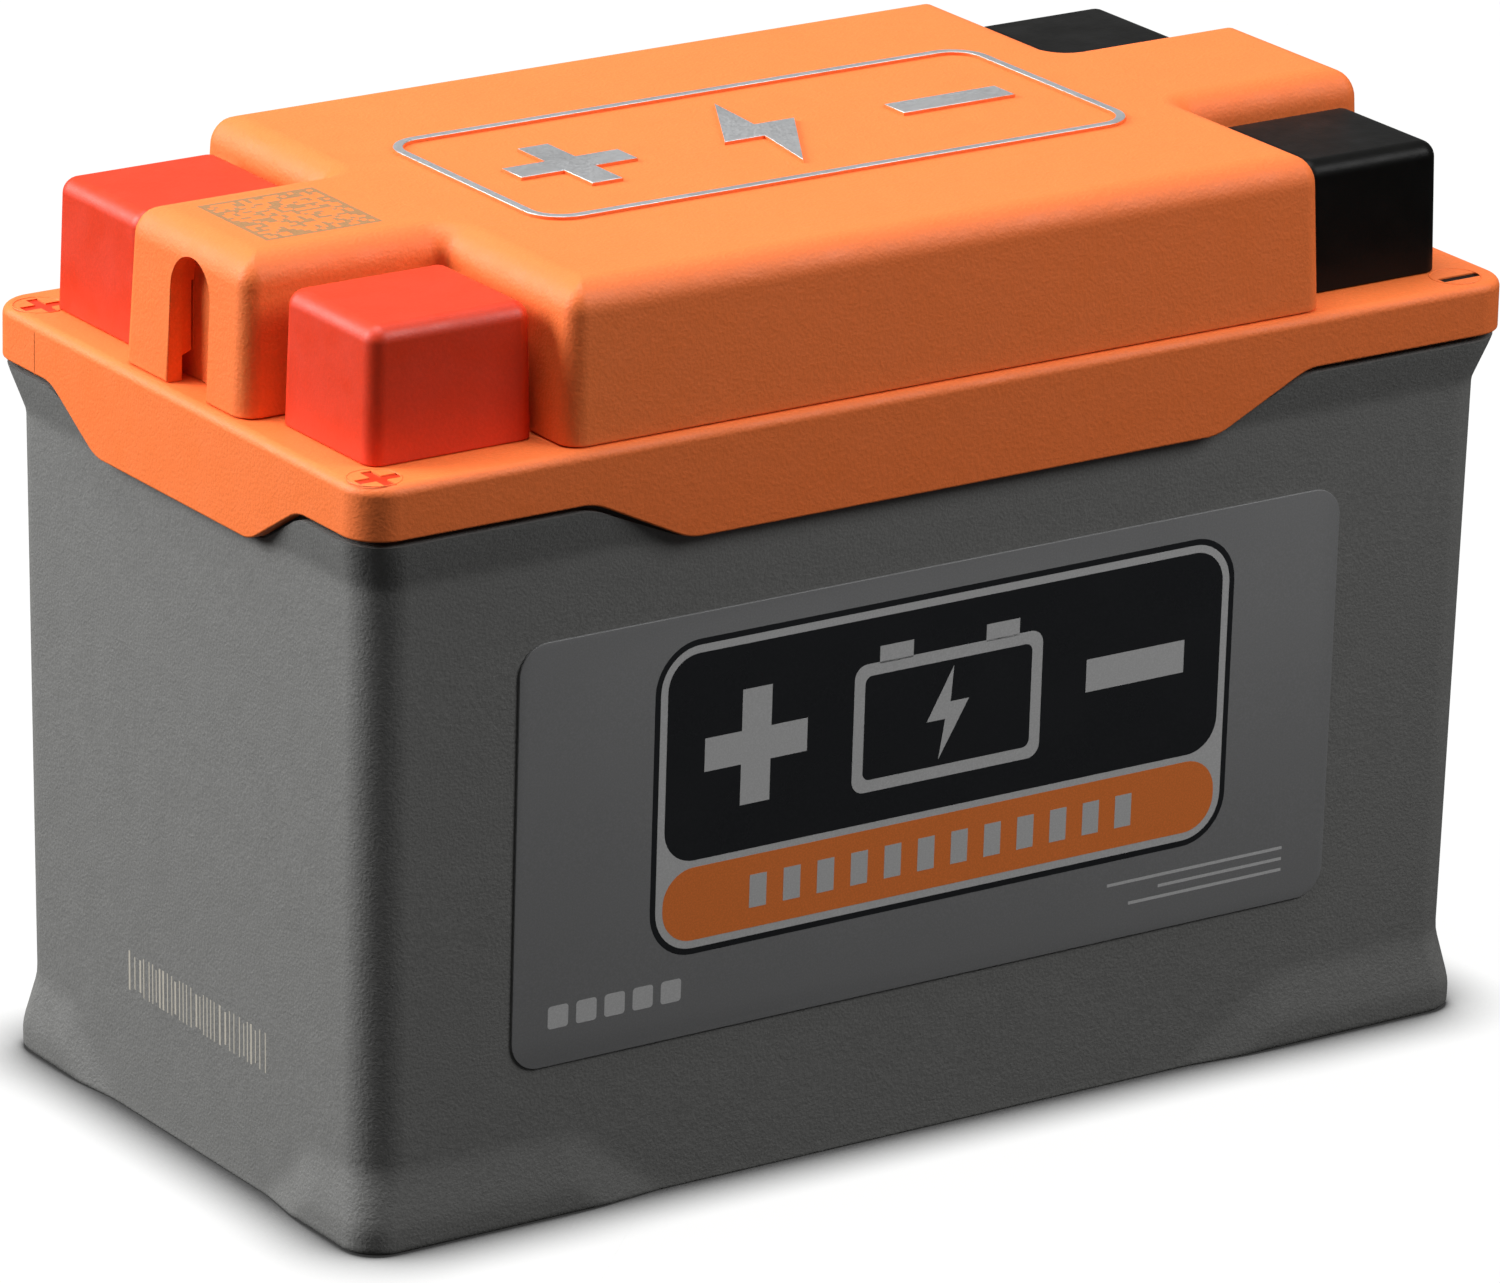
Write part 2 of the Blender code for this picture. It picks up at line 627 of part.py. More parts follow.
def make_electronics(surfaces):
    copper = surfaces["copper"]
    board_top = BOARD_Z + BOARD_THICKNESS + GAP
    pad_bottom = SHEET_Z + SHEET_THICKNESS + GAP
    slab("insulation_sheet", SHEET_HALF, SHEET_Z, SHEET_THICKNESS, surfaces["fish_paper"])
    slab("board_foam_pad", BOARD_PAD_HALF, pad_bottom, BOARD_Z - GAP - pad_bottom, surfaces["grey_foam"])
    slab("protection_board", BOARD_HALF, BOARD_Z, BOARD_THICKNESS, surfaces["green_board"])
    make_heat_spreader(surfaces["aluminium"], board_top)
    connector_at = (SENSE_X, BOARD_HALF[1] - 4 * MM)
    connector_half = (8 * MM, 3 * MM)
    slab("sense_connector", connector_half, board_top, 4.5 * MM, surfaces["white_nylon"], connector_at)
    make_sense_flex(surfaces["amber_film"])
    make_straps(copper)


def make_heat_spreader(surface, z):
    """An aluminium plate over the board's switches, with ribs along X."""
    rib, valley, ribs = 1.6 * MM, 2.4 * MM, 5
    base, height = 1.6 * MM, 4.2 * MM
    width = ribs * rib + (ribs - 1) * valley
    profile = [(-width / 2, 0)]
    for i in range(ribs):
        left = -width / 2 + i * (rib + valley)
        profile += [(left, height), (left + rib, height)]
        if i < ribs - 1:
            profile += [(left + rib, base), (left + rib + valley, base)]
    profile.append((width / 2, 0))
    half_x, centre = 24 * MM, (6 * MM, -6 * MM)
    near = [(centre[0] - half_x, centre[1] + y, z + up) for y, up in profile]
    far = [(centre[0] + half_x, centre[1] + y, z + up) for y, up in profile]
    place("heat_spreader", finish_mesh("heat_spreader", loft([near, far])), surface)


def make_sense_flex(surface):
    """A flexible circuit from the links, along the rear cells, up to the board's connector."""
    thickness = 0.3 * MM
    inner, outer = BOARD_HALF[1] + GAP, CELL_ROW_Y + 12 * MM
    low = SHEET_Z + 2 * GAP + SHEET_THICKNESS
    high = BOARD_Z + BOARD_THICKNESS + 3 * MM
    profile = (
        (inner, low),
        (outer, low),
        (outer, low + thickness),
        (inner + thickness, low + thickness),
        (inner + thickness, high),
        (inner, high),
    )
    half_x = 14 * MM
    near = [(SENSE_X - half_x, y, z) for y, z in profile]
    far = [(SENSE_X + half_x, y, z) for y, z in profile]
    place("sense_flex", finish_mesh("sense_flex", loft([near, far])), surface)


def make_straps(surface):
    """Copper from the first and last links to the terminals' stems."""
    low = CELL_BOTTOM_Z + CELL_LENGTH + 2 * GAP + BUSBAR_THICKNESS
    top = STRAP_Z + STRAP_THICKNESS
    leg_x = TERMINAL_X[-1] + 6 * MM
    foot_x = leg_x - STRAP_THICKNESS
    far_x = TERMINAL_X[-1] - 5 * MM
    positive = (
        (far_x, STRAP_Z),
        (foot_x, STRAP_Z),
        (foot_x, low),
        (leg_x, low),
        (leg_x, top),
        (far_x, top),
    )
    bent_strip("positive_strap", positive, STRAP_HALF_Y, surface)
    inner_x = BOARD_HALF[0] - 5 * MM
    outer_x = TERMINAL_X[1] + 5 * MM
    negative = ((inner_x, STRAP_Z), (outer_x, STRAP_Z), (outer_x, top), (inner_x, top))
    bent_strip("negative_strap", negative, STRAP_HALF_Y, surface)
    link_half = (1.2 * MM, 12 * MM)
    link_x = BOARD_HALF[0] - 2 * MM
    slab("board_negative_link", link_half, low, BOARD_Z - GAP - low, surface, (link_x, 0.0), 0.5 * MM)


def make_base_pad(surface):
    half = [reach - 3.5 * MM for reach in CASE_HALF_BASE]
    slab("base_foam_pad", half, CASE_FLOOR + GAP, PAD_THICKNESS, surface, radius=2.5 * MM)


def main():
    clear_scene()
    surfaces = {
        "grey_case": material("grey_case", (0.075, 0.075, 0.072), 0.62),
        "orange_plastic": material("orange_plastic", (0.90, 0.23, 0.045), 0.55),
        "red_plastic": material("red_plastic", (0.80, 0.045, 0.018), 0.42),
        "black_plastic": material("black_plastic", (0.012, 0.012, 0.012), 0.38),
        "grey_label": material("grey_label", (0.085, 0.088, 0.095), 0.4),
        "silver_badge": material("silver_badge", (0.72, 0.73, 0.74), 0.3, 1.0),
        "tinned_brass": material("tinned_brass", (0.72, 0.68, 0.60), 0.32, 1.0),
        "zinc_steel": material("zinc_steel", (0.62, 0.63, 0.65), 0.3, 1.0),
        "copper": material("copper", (0.80, 0.42, 0.26), 0.3, 1.0),
        "aluminium": material("aluminium", (0.75, 0.76, 0.78), 0.35, 1.0),
        "blue_wrap": material("blue_wrap", (0.03, 0.14, 0.42), 0.35),
        "black_holder": material("black_holder", (0.025, 0.025, 0.028), 0.55),
        "grey_foam": material("grey_foam", (0.16, 0.16, 0.17), 0.9),
        "rubber_seal": material("rubber_seal", (0.02, 0.02, 0.02), 0.7),
        "fish_paper": material("fish_paper", (0.55, 0.60, 0.46), 0.8),
        "green_board": material("green_board", (0.02, 0.16, 0.06), 0.4),
        "white_nylon": material("white_nylon", (0.80, 0.79, 0.74), 0.45),
        "amber_film": material("amber_film", (0.60, 0.26, 0.04), 0.35),
    }
    make_case(surfaces["grey_case"])
    make_lid(surfaces["orange_plastic"])
    make_lid_seal(surfaces["rubber_seal"])
    make_cover(surfaces["orange_plastic"])
    make_badge(surfaces["silver_badge"])
    make_label(surfaces["grey_label"])
    make_terminals(surfaces)
    make_cells(surfaces["blue_wrap"])
    make_holders(surfaces["black_holder"])
    make_busbars(surfaces["copper"])
    make_electronics(surfaces)
    make_base_pad(surfaces["grey_foam"])


main()
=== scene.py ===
"""Looks of the four-terminal motorcycle battery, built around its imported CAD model.

Lengths are in metres. Places and overall sizes come from the CAD nodes' boxes. +X runs from
the positive end to the negative end, and the label faces -Y.
"""

import json
import math
import random

import bmesh
import bpy
from mathutils import Matrix, Vector


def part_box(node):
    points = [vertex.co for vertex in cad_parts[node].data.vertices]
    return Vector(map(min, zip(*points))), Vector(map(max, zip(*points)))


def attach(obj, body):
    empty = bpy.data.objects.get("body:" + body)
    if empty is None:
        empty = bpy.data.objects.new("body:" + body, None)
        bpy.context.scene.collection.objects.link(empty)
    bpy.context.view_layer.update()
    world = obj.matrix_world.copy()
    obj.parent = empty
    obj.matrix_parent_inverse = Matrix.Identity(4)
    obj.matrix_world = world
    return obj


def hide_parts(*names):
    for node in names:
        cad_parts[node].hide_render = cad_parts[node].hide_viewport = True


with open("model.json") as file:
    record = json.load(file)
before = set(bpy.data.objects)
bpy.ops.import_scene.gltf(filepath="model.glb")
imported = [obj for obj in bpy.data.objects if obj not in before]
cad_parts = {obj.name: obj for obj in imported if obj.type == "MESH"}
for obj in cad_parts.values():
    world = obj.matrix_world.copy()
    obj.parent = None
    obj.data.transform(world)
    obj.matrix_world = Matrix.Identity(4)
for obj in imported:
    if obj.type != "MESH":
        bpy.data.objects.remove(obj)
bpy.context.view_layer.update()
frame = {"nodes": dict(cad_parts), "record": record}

MM = 0.001
QUARTER = math.pi / 2

# Camera. The azimuth turns it round the object from a view along +Y, and the lens is long.
CAMERA_AZIMUTH = math.radians(-34.3)
CAMERA_ELEVATION = math.radians(19.25)
CAMERA_ROLL = math.radians(1.31)
CAMERA_PLACE = (-0.5969, -0.87496, 0.41542)
CAMERA_LENS = 242.16
SENSOR_WIDTH = 36.0

# Skirt and wall shapes that the boxes don't give. They follow the CAD source.
SKIRT_LONG_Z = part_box("lid")[0].z
SKIRT_SHORT_Z = 80.7 * MM
FOLDS_X = (46.6 * MM, 34.5 * MM)
FOLDS_Y = (25.5 * MM, 16.0 * MM)
LID_RADIUS = 4.5 * MM
LID_EDGE = 1.15 * MM
CASE_RADIUS = 5.0 * MM
CASE_HALF_BASE = (72.3 * MM, 36.4 * MM)
CASE_HALF_TOP = (73.3 * MM, 37.4 * MM)
CASE_WALL = 2.2 * MM
CASE_FLOOR = 2.5 * MM
CASE_RIM_STEP = 0.4 * MM  # how far the rim stands back under the lid
CASE_MIDDLE_Z = 40.0 * MM
TOP_FLARE = 1.5 * MM
TOP_FLARE_Z = 74.8 * MM
FOOT_FLARE = 1.0 * MM
FOOT_TOP_Z = 9.0 * MM
FOOT_BULGE_Z = 3.0 * MM
FOOT_ROUND = (0.3 * MM, 0.5 * MM)  # height rounded under at the sides, and what the corners add
FOOT_TUCK = (0.15 * MM, 0.35 * MM)  # how far the rounding draws in, in the same way
FOOT_LEVELS = (0.0, 0.08, 0.2, 0.4, 0.65, 1.0, 1.4, 1.9, 2.5, 3.2, 4.0, 5.0, 6.0, 7.0, 8.0, 9.0, 10.0)
SEAM = (0.25 * MM, 0.7 * MM)  # dark gap under the lid, at its long and its short skirt
LID_DECK = 2.5 * MM
LID_SKIRT = 1.5 * MM
LID_LIP = 0.28 * MM
PARTING_LINE_Y = 28.8 * MM
STEM_HOLE_RADIUS = 4.1 * MM

# Polarity marks sunk in the lid's corners.
MARK_X = {-1: -71.2 * MM, 1: 69.75 * MM}
MARK_Y = {-1: -35.5 * MM, 1: 33.4 * MM}
MARK_ARM = 2.6 * MM
MARK_STROKE = 0.68 * MM
MARK_DEPTH = 0.45 * MM
MARK_RING = 2.9 * MM

# The cover.
COVER_HALF = (49.0 * MM, 37.65 * MM)
COVER_ARM = (73.45 * MM, 12.45 * MM)
COVER_DRAFT = 0.3 * MM
COVER_CORNER = 2.4 * MM
COVER_TOP_CORNER = 0.4 * MM
COVER_INNER_CORNER = 1.2 * MM
COVER_EDGE = 3.5 * MM
COVER_WALL = 2.0 * MM
SLOT_Y = -1.0 * MM
SLOT_HALF_WIDTH = 4.0 * MM
SLOT_TOP_Z = 101.6 * MM
SLOT_DEPTH = 3.3 * MM
SLOT_BACK_WALL = 1.6 * MM
SLOT_LIP = 0.25 * MM
SLOT_FACE_WALL = 1.6 * MM
SLOT_RIB_STEP = 0.4 * MM
SIDE_POCKET_HALF_WIDTH = 8.0 * MM
SIDE_POCKET_HEIGHT = (2.5 * MM, 3.2 * MM)  # at the face, at the back
CODE_X = -60.4 * MM

CORNERS = ((1, -1), (1, 1), (-1, 1), (-1, -1))
ENDS = {"positive": -1, "negative": 1}
SIDES = {"front": -1, "rear": 1}


# ---------------------------------------------------------------- outlines


def arc(centre, radius, start, sweep, steps):
    angles = [start + sweep * i / steps for i in range(steps + 1)]
    return [(centre[0] + radius * math.cos(a), centre[1] + radius * math.sin(a)) for a in angles]


def circle(radius, steps, centre=(0.0, 0.0)):
    return arc(centre, radius, 0.0, 2 * math.pi * (steps - 1) / steps, steps - 1)


def rectangle(half_x, half_y, centre=(0.0, 0.0)):
    corners = ((-1, -1), (1, -1), (1, 1), (-1, 1))
    return [(centre[0] + sx * half_x, centre[1] + sy * half_y) for sx, sy in corners]


def rounded_rectangle(half_x, half_y, radius, steps=10, centre=(0.0, 0.0)):
    outline = []
    for quarter, (sx, sy) in enumerate(CORNERS):
        middle = (centre[0] + sx * (half_x - radius), centre[1] + sy * (half_y - radius))
        outline += arc(middle, radius, (quarter - 1) * QUARTER, QUARTER, steps)
    return outline


def cross_outline(half, arm, convex, concave, steps=10):
    """A plus shape: a wide middle and two arms along X, with rounded corners of both kinds."""
    corners = ((*half, convex), (half[0], arm[1], -concave), (*arm, convex))
    outline = []
    for quarter, (sx, sy) in enumerate(CORNERS):
        for x, y, radius in corners if quarter % 2 == 0 else reversed(corners):
            centre = (sx * (x - radius), sy * (y - radius))
            middle = math.atan2(sy * radius, sx * radius)
            sweep = math.copysign(QUARTER, radius)
            outline += arc(centre, abs(radius), middle - sweep / 2, sweep, steps)
    return outline


def plus_outline(arm, stroke, centre=(0.0, 0.0)):
    quarter = ((arm, -stroke), (arm, stroke), (stroke, stroke))
    outline = []
    for turn in range(4):
        cos, sin = round(math.cos(turn * QUARTER)), round(math.sin(turn * QUARTER))
        outline += [(centre[0] + x * cos - y * sin, centre[1] + x * sin + y * cos) for x, y in quarter]
    return outline


def bolt_outline(height, centre=(0.0, 0.0)):
    """A lightning bolt in a box of the given height."""
    shape = ((0.06, 0.5), (-0.26, -0.07), (-0.03, -0.07), (-0.1, -0.5), (0.26, 0.11), (0.03, 0.11))
    return [(centre[0] + x * height, centre[1] + y * height) for x, y in shape]


def at_height(outline, z):
    return [(x, y, z) for x, y in outline]


# ---------------------------------------------------------------- meshes


def solid(rings, closed=False, bm=None):
    """A body through a stack of equal rings, capped at both ends, or joined into a loop."""
    bm = bm or bmesh.new()
    made = [[bm.verts.new(point) for point in ring] for ring in rings]
    pairs = list(zip(made, made[1:]))
    if closed:
        pairs.append((made[-1], made[0]))
    for lower, upper in pairs:
        for i, corner in enumerate(lower):
            j = (i + 1) % len(lower)
            bm.faces.new((corner, lower[j], upper[j], upper[i]))
    if not closed:
        bm.faces.new(list(reversed(made[0])))
        bm.faces.new(made[-1])
    return bm


def prism(outline, bottom, top, bm=None):
    return solid([at_height(outline, bottom), at_height(outline, top)], bm=bm)


def bevelled_prism(outline_at, bottom, top, edge, steps=3):
    """A prism whose top edge is rounded. outline_at(inset) gives its outline."""
    rings = [at_height(outline_at(0.0), bottom)]
    for i in range(steps + 1):
        angle = QUARTER * i / steps
        outline = outline_at(edge * (1 - math.cos(angle)))
        rings.append(at_height(outline, top - edge * (1 - math.sin(angle))))
    return solid(rings)


def mesh_object(name, bm, sharp=32.0):
    bmesh.ops.recalc_face_normals(bm, faces=bm.faces)
    mesh = bpy.data.meshes.new(name)
    bm.to_mesh(mesh)
    bm.free()
    mesh.shade_smooth()
    mesh.set_sharp_from_angle(angle=math.radians(sharp))
    obj = bpy.data.objects.new(name, mesh)
    bpy.context.scene.collection.objects.link(obj)
    return obj


def cut(target, name, bm, operation="DIFFERENCE"):
    """Apply a Boolean with a tool shape, which is removed again."""
    tool = mesh_object(name, bm)
    boolean = target.modifiers.new(name, "BOOLEAN")
    boolean.operation = operation
    boolean.solver = "EXACT"
    boolean.object = tool
    apply_modifiers(target)
    bpy.data.objects.remove(tool, do_unlink=True)


def apply_modifiers(obj):
    graph = bpy.context.evaluated_depsgraph_get()
    mesh = bpy.data.meshes.new_from_object(obj.evaluated_get(graph))
    obj.modifiers.clear()
    obj.data = mesh


def smooth_flats(obj, sharp=32.0):
    """Shade big flat faces flat and the narrow rounds between them smooth."""
    obj.data.shade_smooth()
    obj.data.set_sharp_from_angle(angle=math.radians(sharp))
    weighted = obj.modifiers.new("weighted", "WEIGHTED_NORMAL")
    weighted.keep_sharp = True
    weighted.weight = 100


def bevel(obj, width, segments=2, angle=40.0):
    modifier = obj.modifiers.new("edges", "BEVEL")
    modifier.width = width
    modifier.segments = segments
    modifier.limit_method = "ANGLE"
    modifier.angle_limit = math.radians(angle)
    modifier.harden_normals = False


def finish_piece(obj, surface, body="housing", replaces=()):
    obj.data.materials.clear()
    obj.data.materials.append(surface)
    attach(obj, body)
    if replaces:
        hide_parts(*replaces)
    return obj


# ---------------------------------------------------------------- materials


class Surface:
    """A Principled material with short helpers for its procedural inputs."""

    def __init__(self, name, colour, roughness, metallic=0.0, **values):
        self.material = bpy.data.materials.new(name)
        self.material.use_nodes = True
        self.tree = self.material.node_tree
        self.shader = self.tree.nodes["Principled BSDF"]
        self.colour = colour
        self.shader.inputs["Base Color"].default_value = (*colour, 1.0)
        self.shader.inputs["Roughness"].default_value = roughness
        self.shader.inputs["Metallic"].default_value = metallic
        for socket, value in values.items():
            self.shader.inputs[socket.replace("_", " ")].default_value = value
        self.place = self.tree.nodes.new("ShaderNodeTexCoord").outputs["Object"]
        self.height = None

    def node(self, kind, **values):
        made = self.tree.nodes.new(kind)
        for key, value in values.items():
            if key in made.inputs:
                made.inputs[key].default_value = value
            else:
                setattr(made, key, value)
        return made

    def link(self, source, target):
        self.tree.links.new(source, target)

    def noise(self, scale, detail=2.0, roughness=0.5, stretch=None):
        """A noise whose scale is in features per metre."""
        place = self.place
        if stretch:
            mapping = self.node("ShaderNodeMapping", Scale=stretch)
            self.link(place, mapping.inputs["Vector"])
            place = mapping.outputs["Vector"]
        made = self.node("ShaderNodeTexNoise", Scale=scale, Detail=detail, Roughness=roughness)
        self.link(place, made.inputs["Vector"])
        return made.outputs["Fac"]

    def spread(self, source, low, high, lowest=0.3, highest=0.7):
        made = self.node("ShaderNodeMapRange")
        for socket, value in zip(("From Min", "From Max", "To Min", "To Max"), (lowest, highest, low, high)):
            made.inputs[socket].default_value = value
        self.link(source, made.inputs["Value"])
        return made.outputs["Result"]

    def tint(self, source, other, lowest=0.3, highest=0.7):
        """Mix the colour towards another one where the source is high."""
        mix = self.node("ShaderNodeMix", data_type="RGBA")
        base = self.shader.inputs["Base Color"]
        if base.is_linked:
            self.link(base.links[0].from_socket, mix.inputs[6])
        else:
            mix.inputs[6].default_value = (*self.colour, 1.0)
        mix.inputs[7].default_value = (*other, 1.0)
        self.link(self.spread(source, 0.0, 1.0, lowest, highest), mix.inputs["Factor"])
        self.link(mix.outputs[2], base)

    def vary_roughness(self, source, low, high, lowest=0.3, highest=0.7):
        self.link(self.spread(source, low, high, lowest, highest), self.shader.inputs["Roughness"])

    def bump(self, source, depth):
        """Add relief of the given depth in metres."""
        made = self.node("ShaderNodeBump", Strength=1.0, Distance=depth)
        self.link(source, made.inputs["Height"])
        normal = self.shader.inputs["Normal"]
        if normal.is_linked:
            self.link(normal.links[0].from_socket, made.inputs["Normal"])
        self.link(made.outputs["Normal"], normal)


def moulded(name, colour, roughness, grain=1800.0, depth=0.05 * MM, speckle=1.15, **values):
    """Injection-moulded plastic with a fine eroded texture, faint flow clouds and handling marks."""
    surface = Surface(name, colour, roughness, **values)
    fine = surface.noise(grain, 3.0, 0.6)
    cloud = surface.noise(38.0, 3.0, 0.55)
    darker = tuple(channel * 0.86 for channel in colour)
    lighter = tuple(min(channel * speckle, 1.0) for channel in colour)
    surface.tint(cloud, darker, 0.5, 1.5)
    surface.tint(fine, lighter, 0.4, 0.9)
    surface.vary_roughness(surface.noise(260.0, 4.0), roughness - 0.07, roughness + 0.07)
    surface.bump(fine, depth)
    surface.bump(surface.noise(grain / 4, 2.0), depth * 0.6)
    return surface.material


def plated(name, colour, roughness, grain=900.0, depth=0.01 * MM, stretch=None):
    """Bare or plated metal with fine directional marks and dull patches."""
    surface = Surface(name, colour, roughness, 1.0)
    marks = surface.noise(grain, 4.0, 0.6, stretch)
    patches = surface.noise(90.0, 3.0)
    surface.tint(patches, tuple(channel * 0.78 for channel in colour), 0.45, 0.85)
    surface.vary_roughness(marks, roughness - 0.08, roughness + 0.12)
    surface.bump(marks, depth)
    return surface.material


def film(name, colour, roughness, coat=0.0):
    """Printed film: even colour, a satin top coat and very faint orange peel."""
    surface = Surface(name, colour, roughness, Coat_Weight=coat, Coat_Roughness=0.25)
    speck = surface.noise(5200.0, 2.0)
    surface.tint(speck, tuple(min(channel * 1.18 + 0.004, 1.0) for channel in colour), 0.4, 0.8)
    surface.vary_roughness(surface.noise(120.0, 3.0), roughness - 0.05, roughness + 0.06)
    surface.bump(surface.noise(700.0, 2.0), 0.006 * MM)
    return surface.material


def make_surfaces():
    made = {
        "grey_case": moulded("grey_case", (0.155, 0.155, 0.15), 0.58, 3000.0, 0.075 * MM, 1.4),
        "orange_plastic": moulded(
            "orange_plastic", (0.87, 0.186, 0.042), 0.55, 2600.0, 0.06 * MM, Specular_IOR_Level=0.35
        ),
        "red_plastic": moulded("red_plastic", (0.66, 0.035, 0.005), 0.5, 2600.0, 0.02 * MM),
        "black_plastic": moulded(
            "black_plastic", (0.004, 0.004, 0.0037), 0.42, 2600.0, 0.02 * MM, Specular_IOR_Level=0.12
        ),
        "grey_label": film("grey_label", (0.195, 0.196, 0.198), 0.42, 0.05),
        "label_black": film("label_black", (0.012, 0.013, 0.015), 0.3, 0.2),
        "label_orange": film("label_orange", (0.80, 0.20, 0.04), 0.36, 0.15),
        "label_silver": film("label_silver", (0.50, 0.50, 0.50), 0.36, 0.1),
        "silver_badge": plated("silver_badge", (0.80, 0.81, 0.82), 0.42, 4200.0, 0.012 * MM),
        "tinned_brass": plated("tinned_brass", (0.74, 0.70, 0.62), 0.32, 700.0),
        "zinc_steel": plated("zinc_steel", (0.66, 0.67, 0.69), 0.28, 1200.0),
        "copper": plated("copper", (0.82, 0.43, 0.27), 0.3, 900.0, stretch=(1.0, 8.0, 1.0)),
        "aluminium": plated("aluminium", (0.77, 0.78, 0.8), 0.35, 900.0, stretch=(0.1, 1.0, 1.0)),
        "blue_wrap": film("blue_wrap", (0.03, 0.14, 0.42), 0.3, 0.4),
        "black_holder": moulded("black_holder", (0.025, 0.025, 0.028), 0.55),
        "grey_foam": moulded("grey_foam", (0.16, 0.16, 0.17), 0.9, 1300.0, 0.2 * MM),
        "rubber_seal": moulded("rubber_seal", (0.02, 0.02, 0.02), 0.7, 2200.0, 0.02 * MM),
        "fish_paper": moulded("fish_paper", (0.55, 0.60, 0.46), 0.8, 2600.0, 0.03 * MM),
        "green_board": film("green_board", (0.02, 0.16, 0.06), 0.3, 0.5),
        "white_nylon": moulded("white_nylon", (0.80, 0.79, 0.74), 0.45),
        "amber_film": film("amber_film", (0.60, 0.26, 0.04), 0.3, 0.3),
    }
    made["laser_mark"] = film("laser_mark", (0.30, 0.16, 0.062), 0.7)
    made["laser_pale"] = film("laser_pale", (0.42, 0.39, 0.33), 0.7)
    return made


# ---------------------------------------------------------------- case and lid


def ramp(value, low, high, soften):
    """0 below low, 1 above high, straight between, with softened knees."""
    shifts = [soften * (i / 3 - 1) for i in range(7)]
    return sum(min(max((value + shift - low) / (high - low), 0.0), 1.0) for shift in shifts) / len(shifts)


def stations(reach, folds):
    """Places along one side, close together where the skirt's edge slopes."""
    outer, inner = folds
    knee = 2.0 * MM
    steps = 22
    sloped = [inner - knee + (outer - inner + 2 * knee) * i / steps for i in range(steps + 1)]
    half = [0.0, inner / 2] + sloped + [(outer + knee + reach) / 2]
    return [-place for place in reversed(half[1:])] + half


def wall_ring(half, radius, offset_at, height_at, steps=12):
    """One ring of a wall. offset_at and height_at take the share of short skirt, 0 to 1."""
    ring = []
    for side in range(4):
        angle = (side - 1) * QUARTER
        out = Vector((math.cos(angle), math.sin(angle)))
        along = Vector((-out.y, out.x))
        reach_out, reach_along = half if side % 2 else reversed(half)
        folds = FOLDS_Y if side % 2 else FOLDS_X
        for place in stations(reach_along - radius, folds):
            share = ramp(abs(place), folds[1], folds[0], 1.3 * MM)
            point = out * (reach_out + offset_at(share)) + along * place
            ring.append((point.x, point.y, height_at(share)))
        centre = out * (reach_out - radius) + along * (reach_along - radius)
        ring += at_height(arc(centre, radius + offset_at(1.0), angle, QUARTER, steps), height_at(1.0))
    return ring


def case_half(z):
    share = z / SKIRT_SHORT_Z
    return [low + (high - low) * share for low, high in zip(CASE_HALF_BASE, CASE_HALF_TOP)]


def foot_offset(share, z):
    """How far the corner's foot stands out at a height, rounded under near the floor."""
    reach = FOOT_TOP_Z * share - z
    flare = FOOT_FLARE * ramp(reach, 0.0, FOOT_TOP_Z - FOOT_BULGE_Z, 0.8 * MM)
    round_under = FOOT_ROUND[0] + FOOT_ROUND[1] * share
    if z < round_under:
        tuck = FOOT_TUCK[0] + FOOT_TUCK[1] * share
        flare -= tuck * (1 - math.sqrt(1 - (1 - z / round_under) ** 2))
    return flare


def skirt_edge(share):
    """Height of the skirt's lower edge."""
    return SKIRT_LONG_Z + (SKIRT_SHORT_Z - SKIRT_LONG_Z) * share


def seam(share):
    return SEAM[0] + (SEAM[1] - SEAM[0]) * share


def make_case(surface):
    rim_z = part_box("case")[1].z
    inner_half = [reach - CASE_WALL for reach in CASE_HALF_BASE]
    rim_half = [reach - CASE_RIM_STEP for reach in CASE_HALF_TOP]
    rings = []
    for level in FOOT_LEVELS:
        z = level * MM
        radius = CASE_RADIUS - 2.0 * max(foot_offset(1.0, z), 0.0)
        rings.append(wall_ring(case_half(z), radius, lambda share: foot_offset(share, z), lambda share: z))
    middle_half = case_half(CASE_MIDDLE_Z)
    rings.append(wall_ring(middle_half, CASE_RADIUS, lambda share: 0.0, lambda share: CASE_MIDDLE_Z))
    flare_steps = 9
    for i in range(flare_steps + 1):

        def height(share, i=i):
            top = skirt_edge(share) - seam(share)
            return TOP_FLARE_Z - 1.2 * MM + (top - TOP_FLARE_Z + 1.2 * MM) * i / flare_steps

        def offset(share, i=i):
            rise = height(share) - TOP_FLARE_Z
            return TOP_FLARE * ramp(rise, 0.0, SKIRT_SHORT_Z - SEAM[1] - TOP_FLARE_Z, 0.4 * MM)

        rings.append(wall_ring(case_half(height(0.5)), CASE_RADIUS - offset(1.0), offset, height))
    ledge = wall_ring(rim_half, CASE_RADIUS, lambda share: 0.0, lambda share: skirt_edge(share) - seam(share))
    rings += [ledge, wall_ring(rim_half, CASE_RADIUS, lambda share: 0.0, lambda share: rim_z)]
    inward = -2.0 * MM
    rings.append(wall_ring(rim_half, CASE_RADIUS, lambda share: inward, lambda share: rim_z))
    inner_radius = CASE_RADIUS - 1.5 * MM
    rings.append(wall_ring(inner_half, inner_radius, lambda share: 0.0, lambda share: CASE_FLOOR))
    case = mesh_object("case_shell", solid(rings))
    smooth_flats(case, 40.0)
    return finish_piece(case, surface, replaces=["case"])


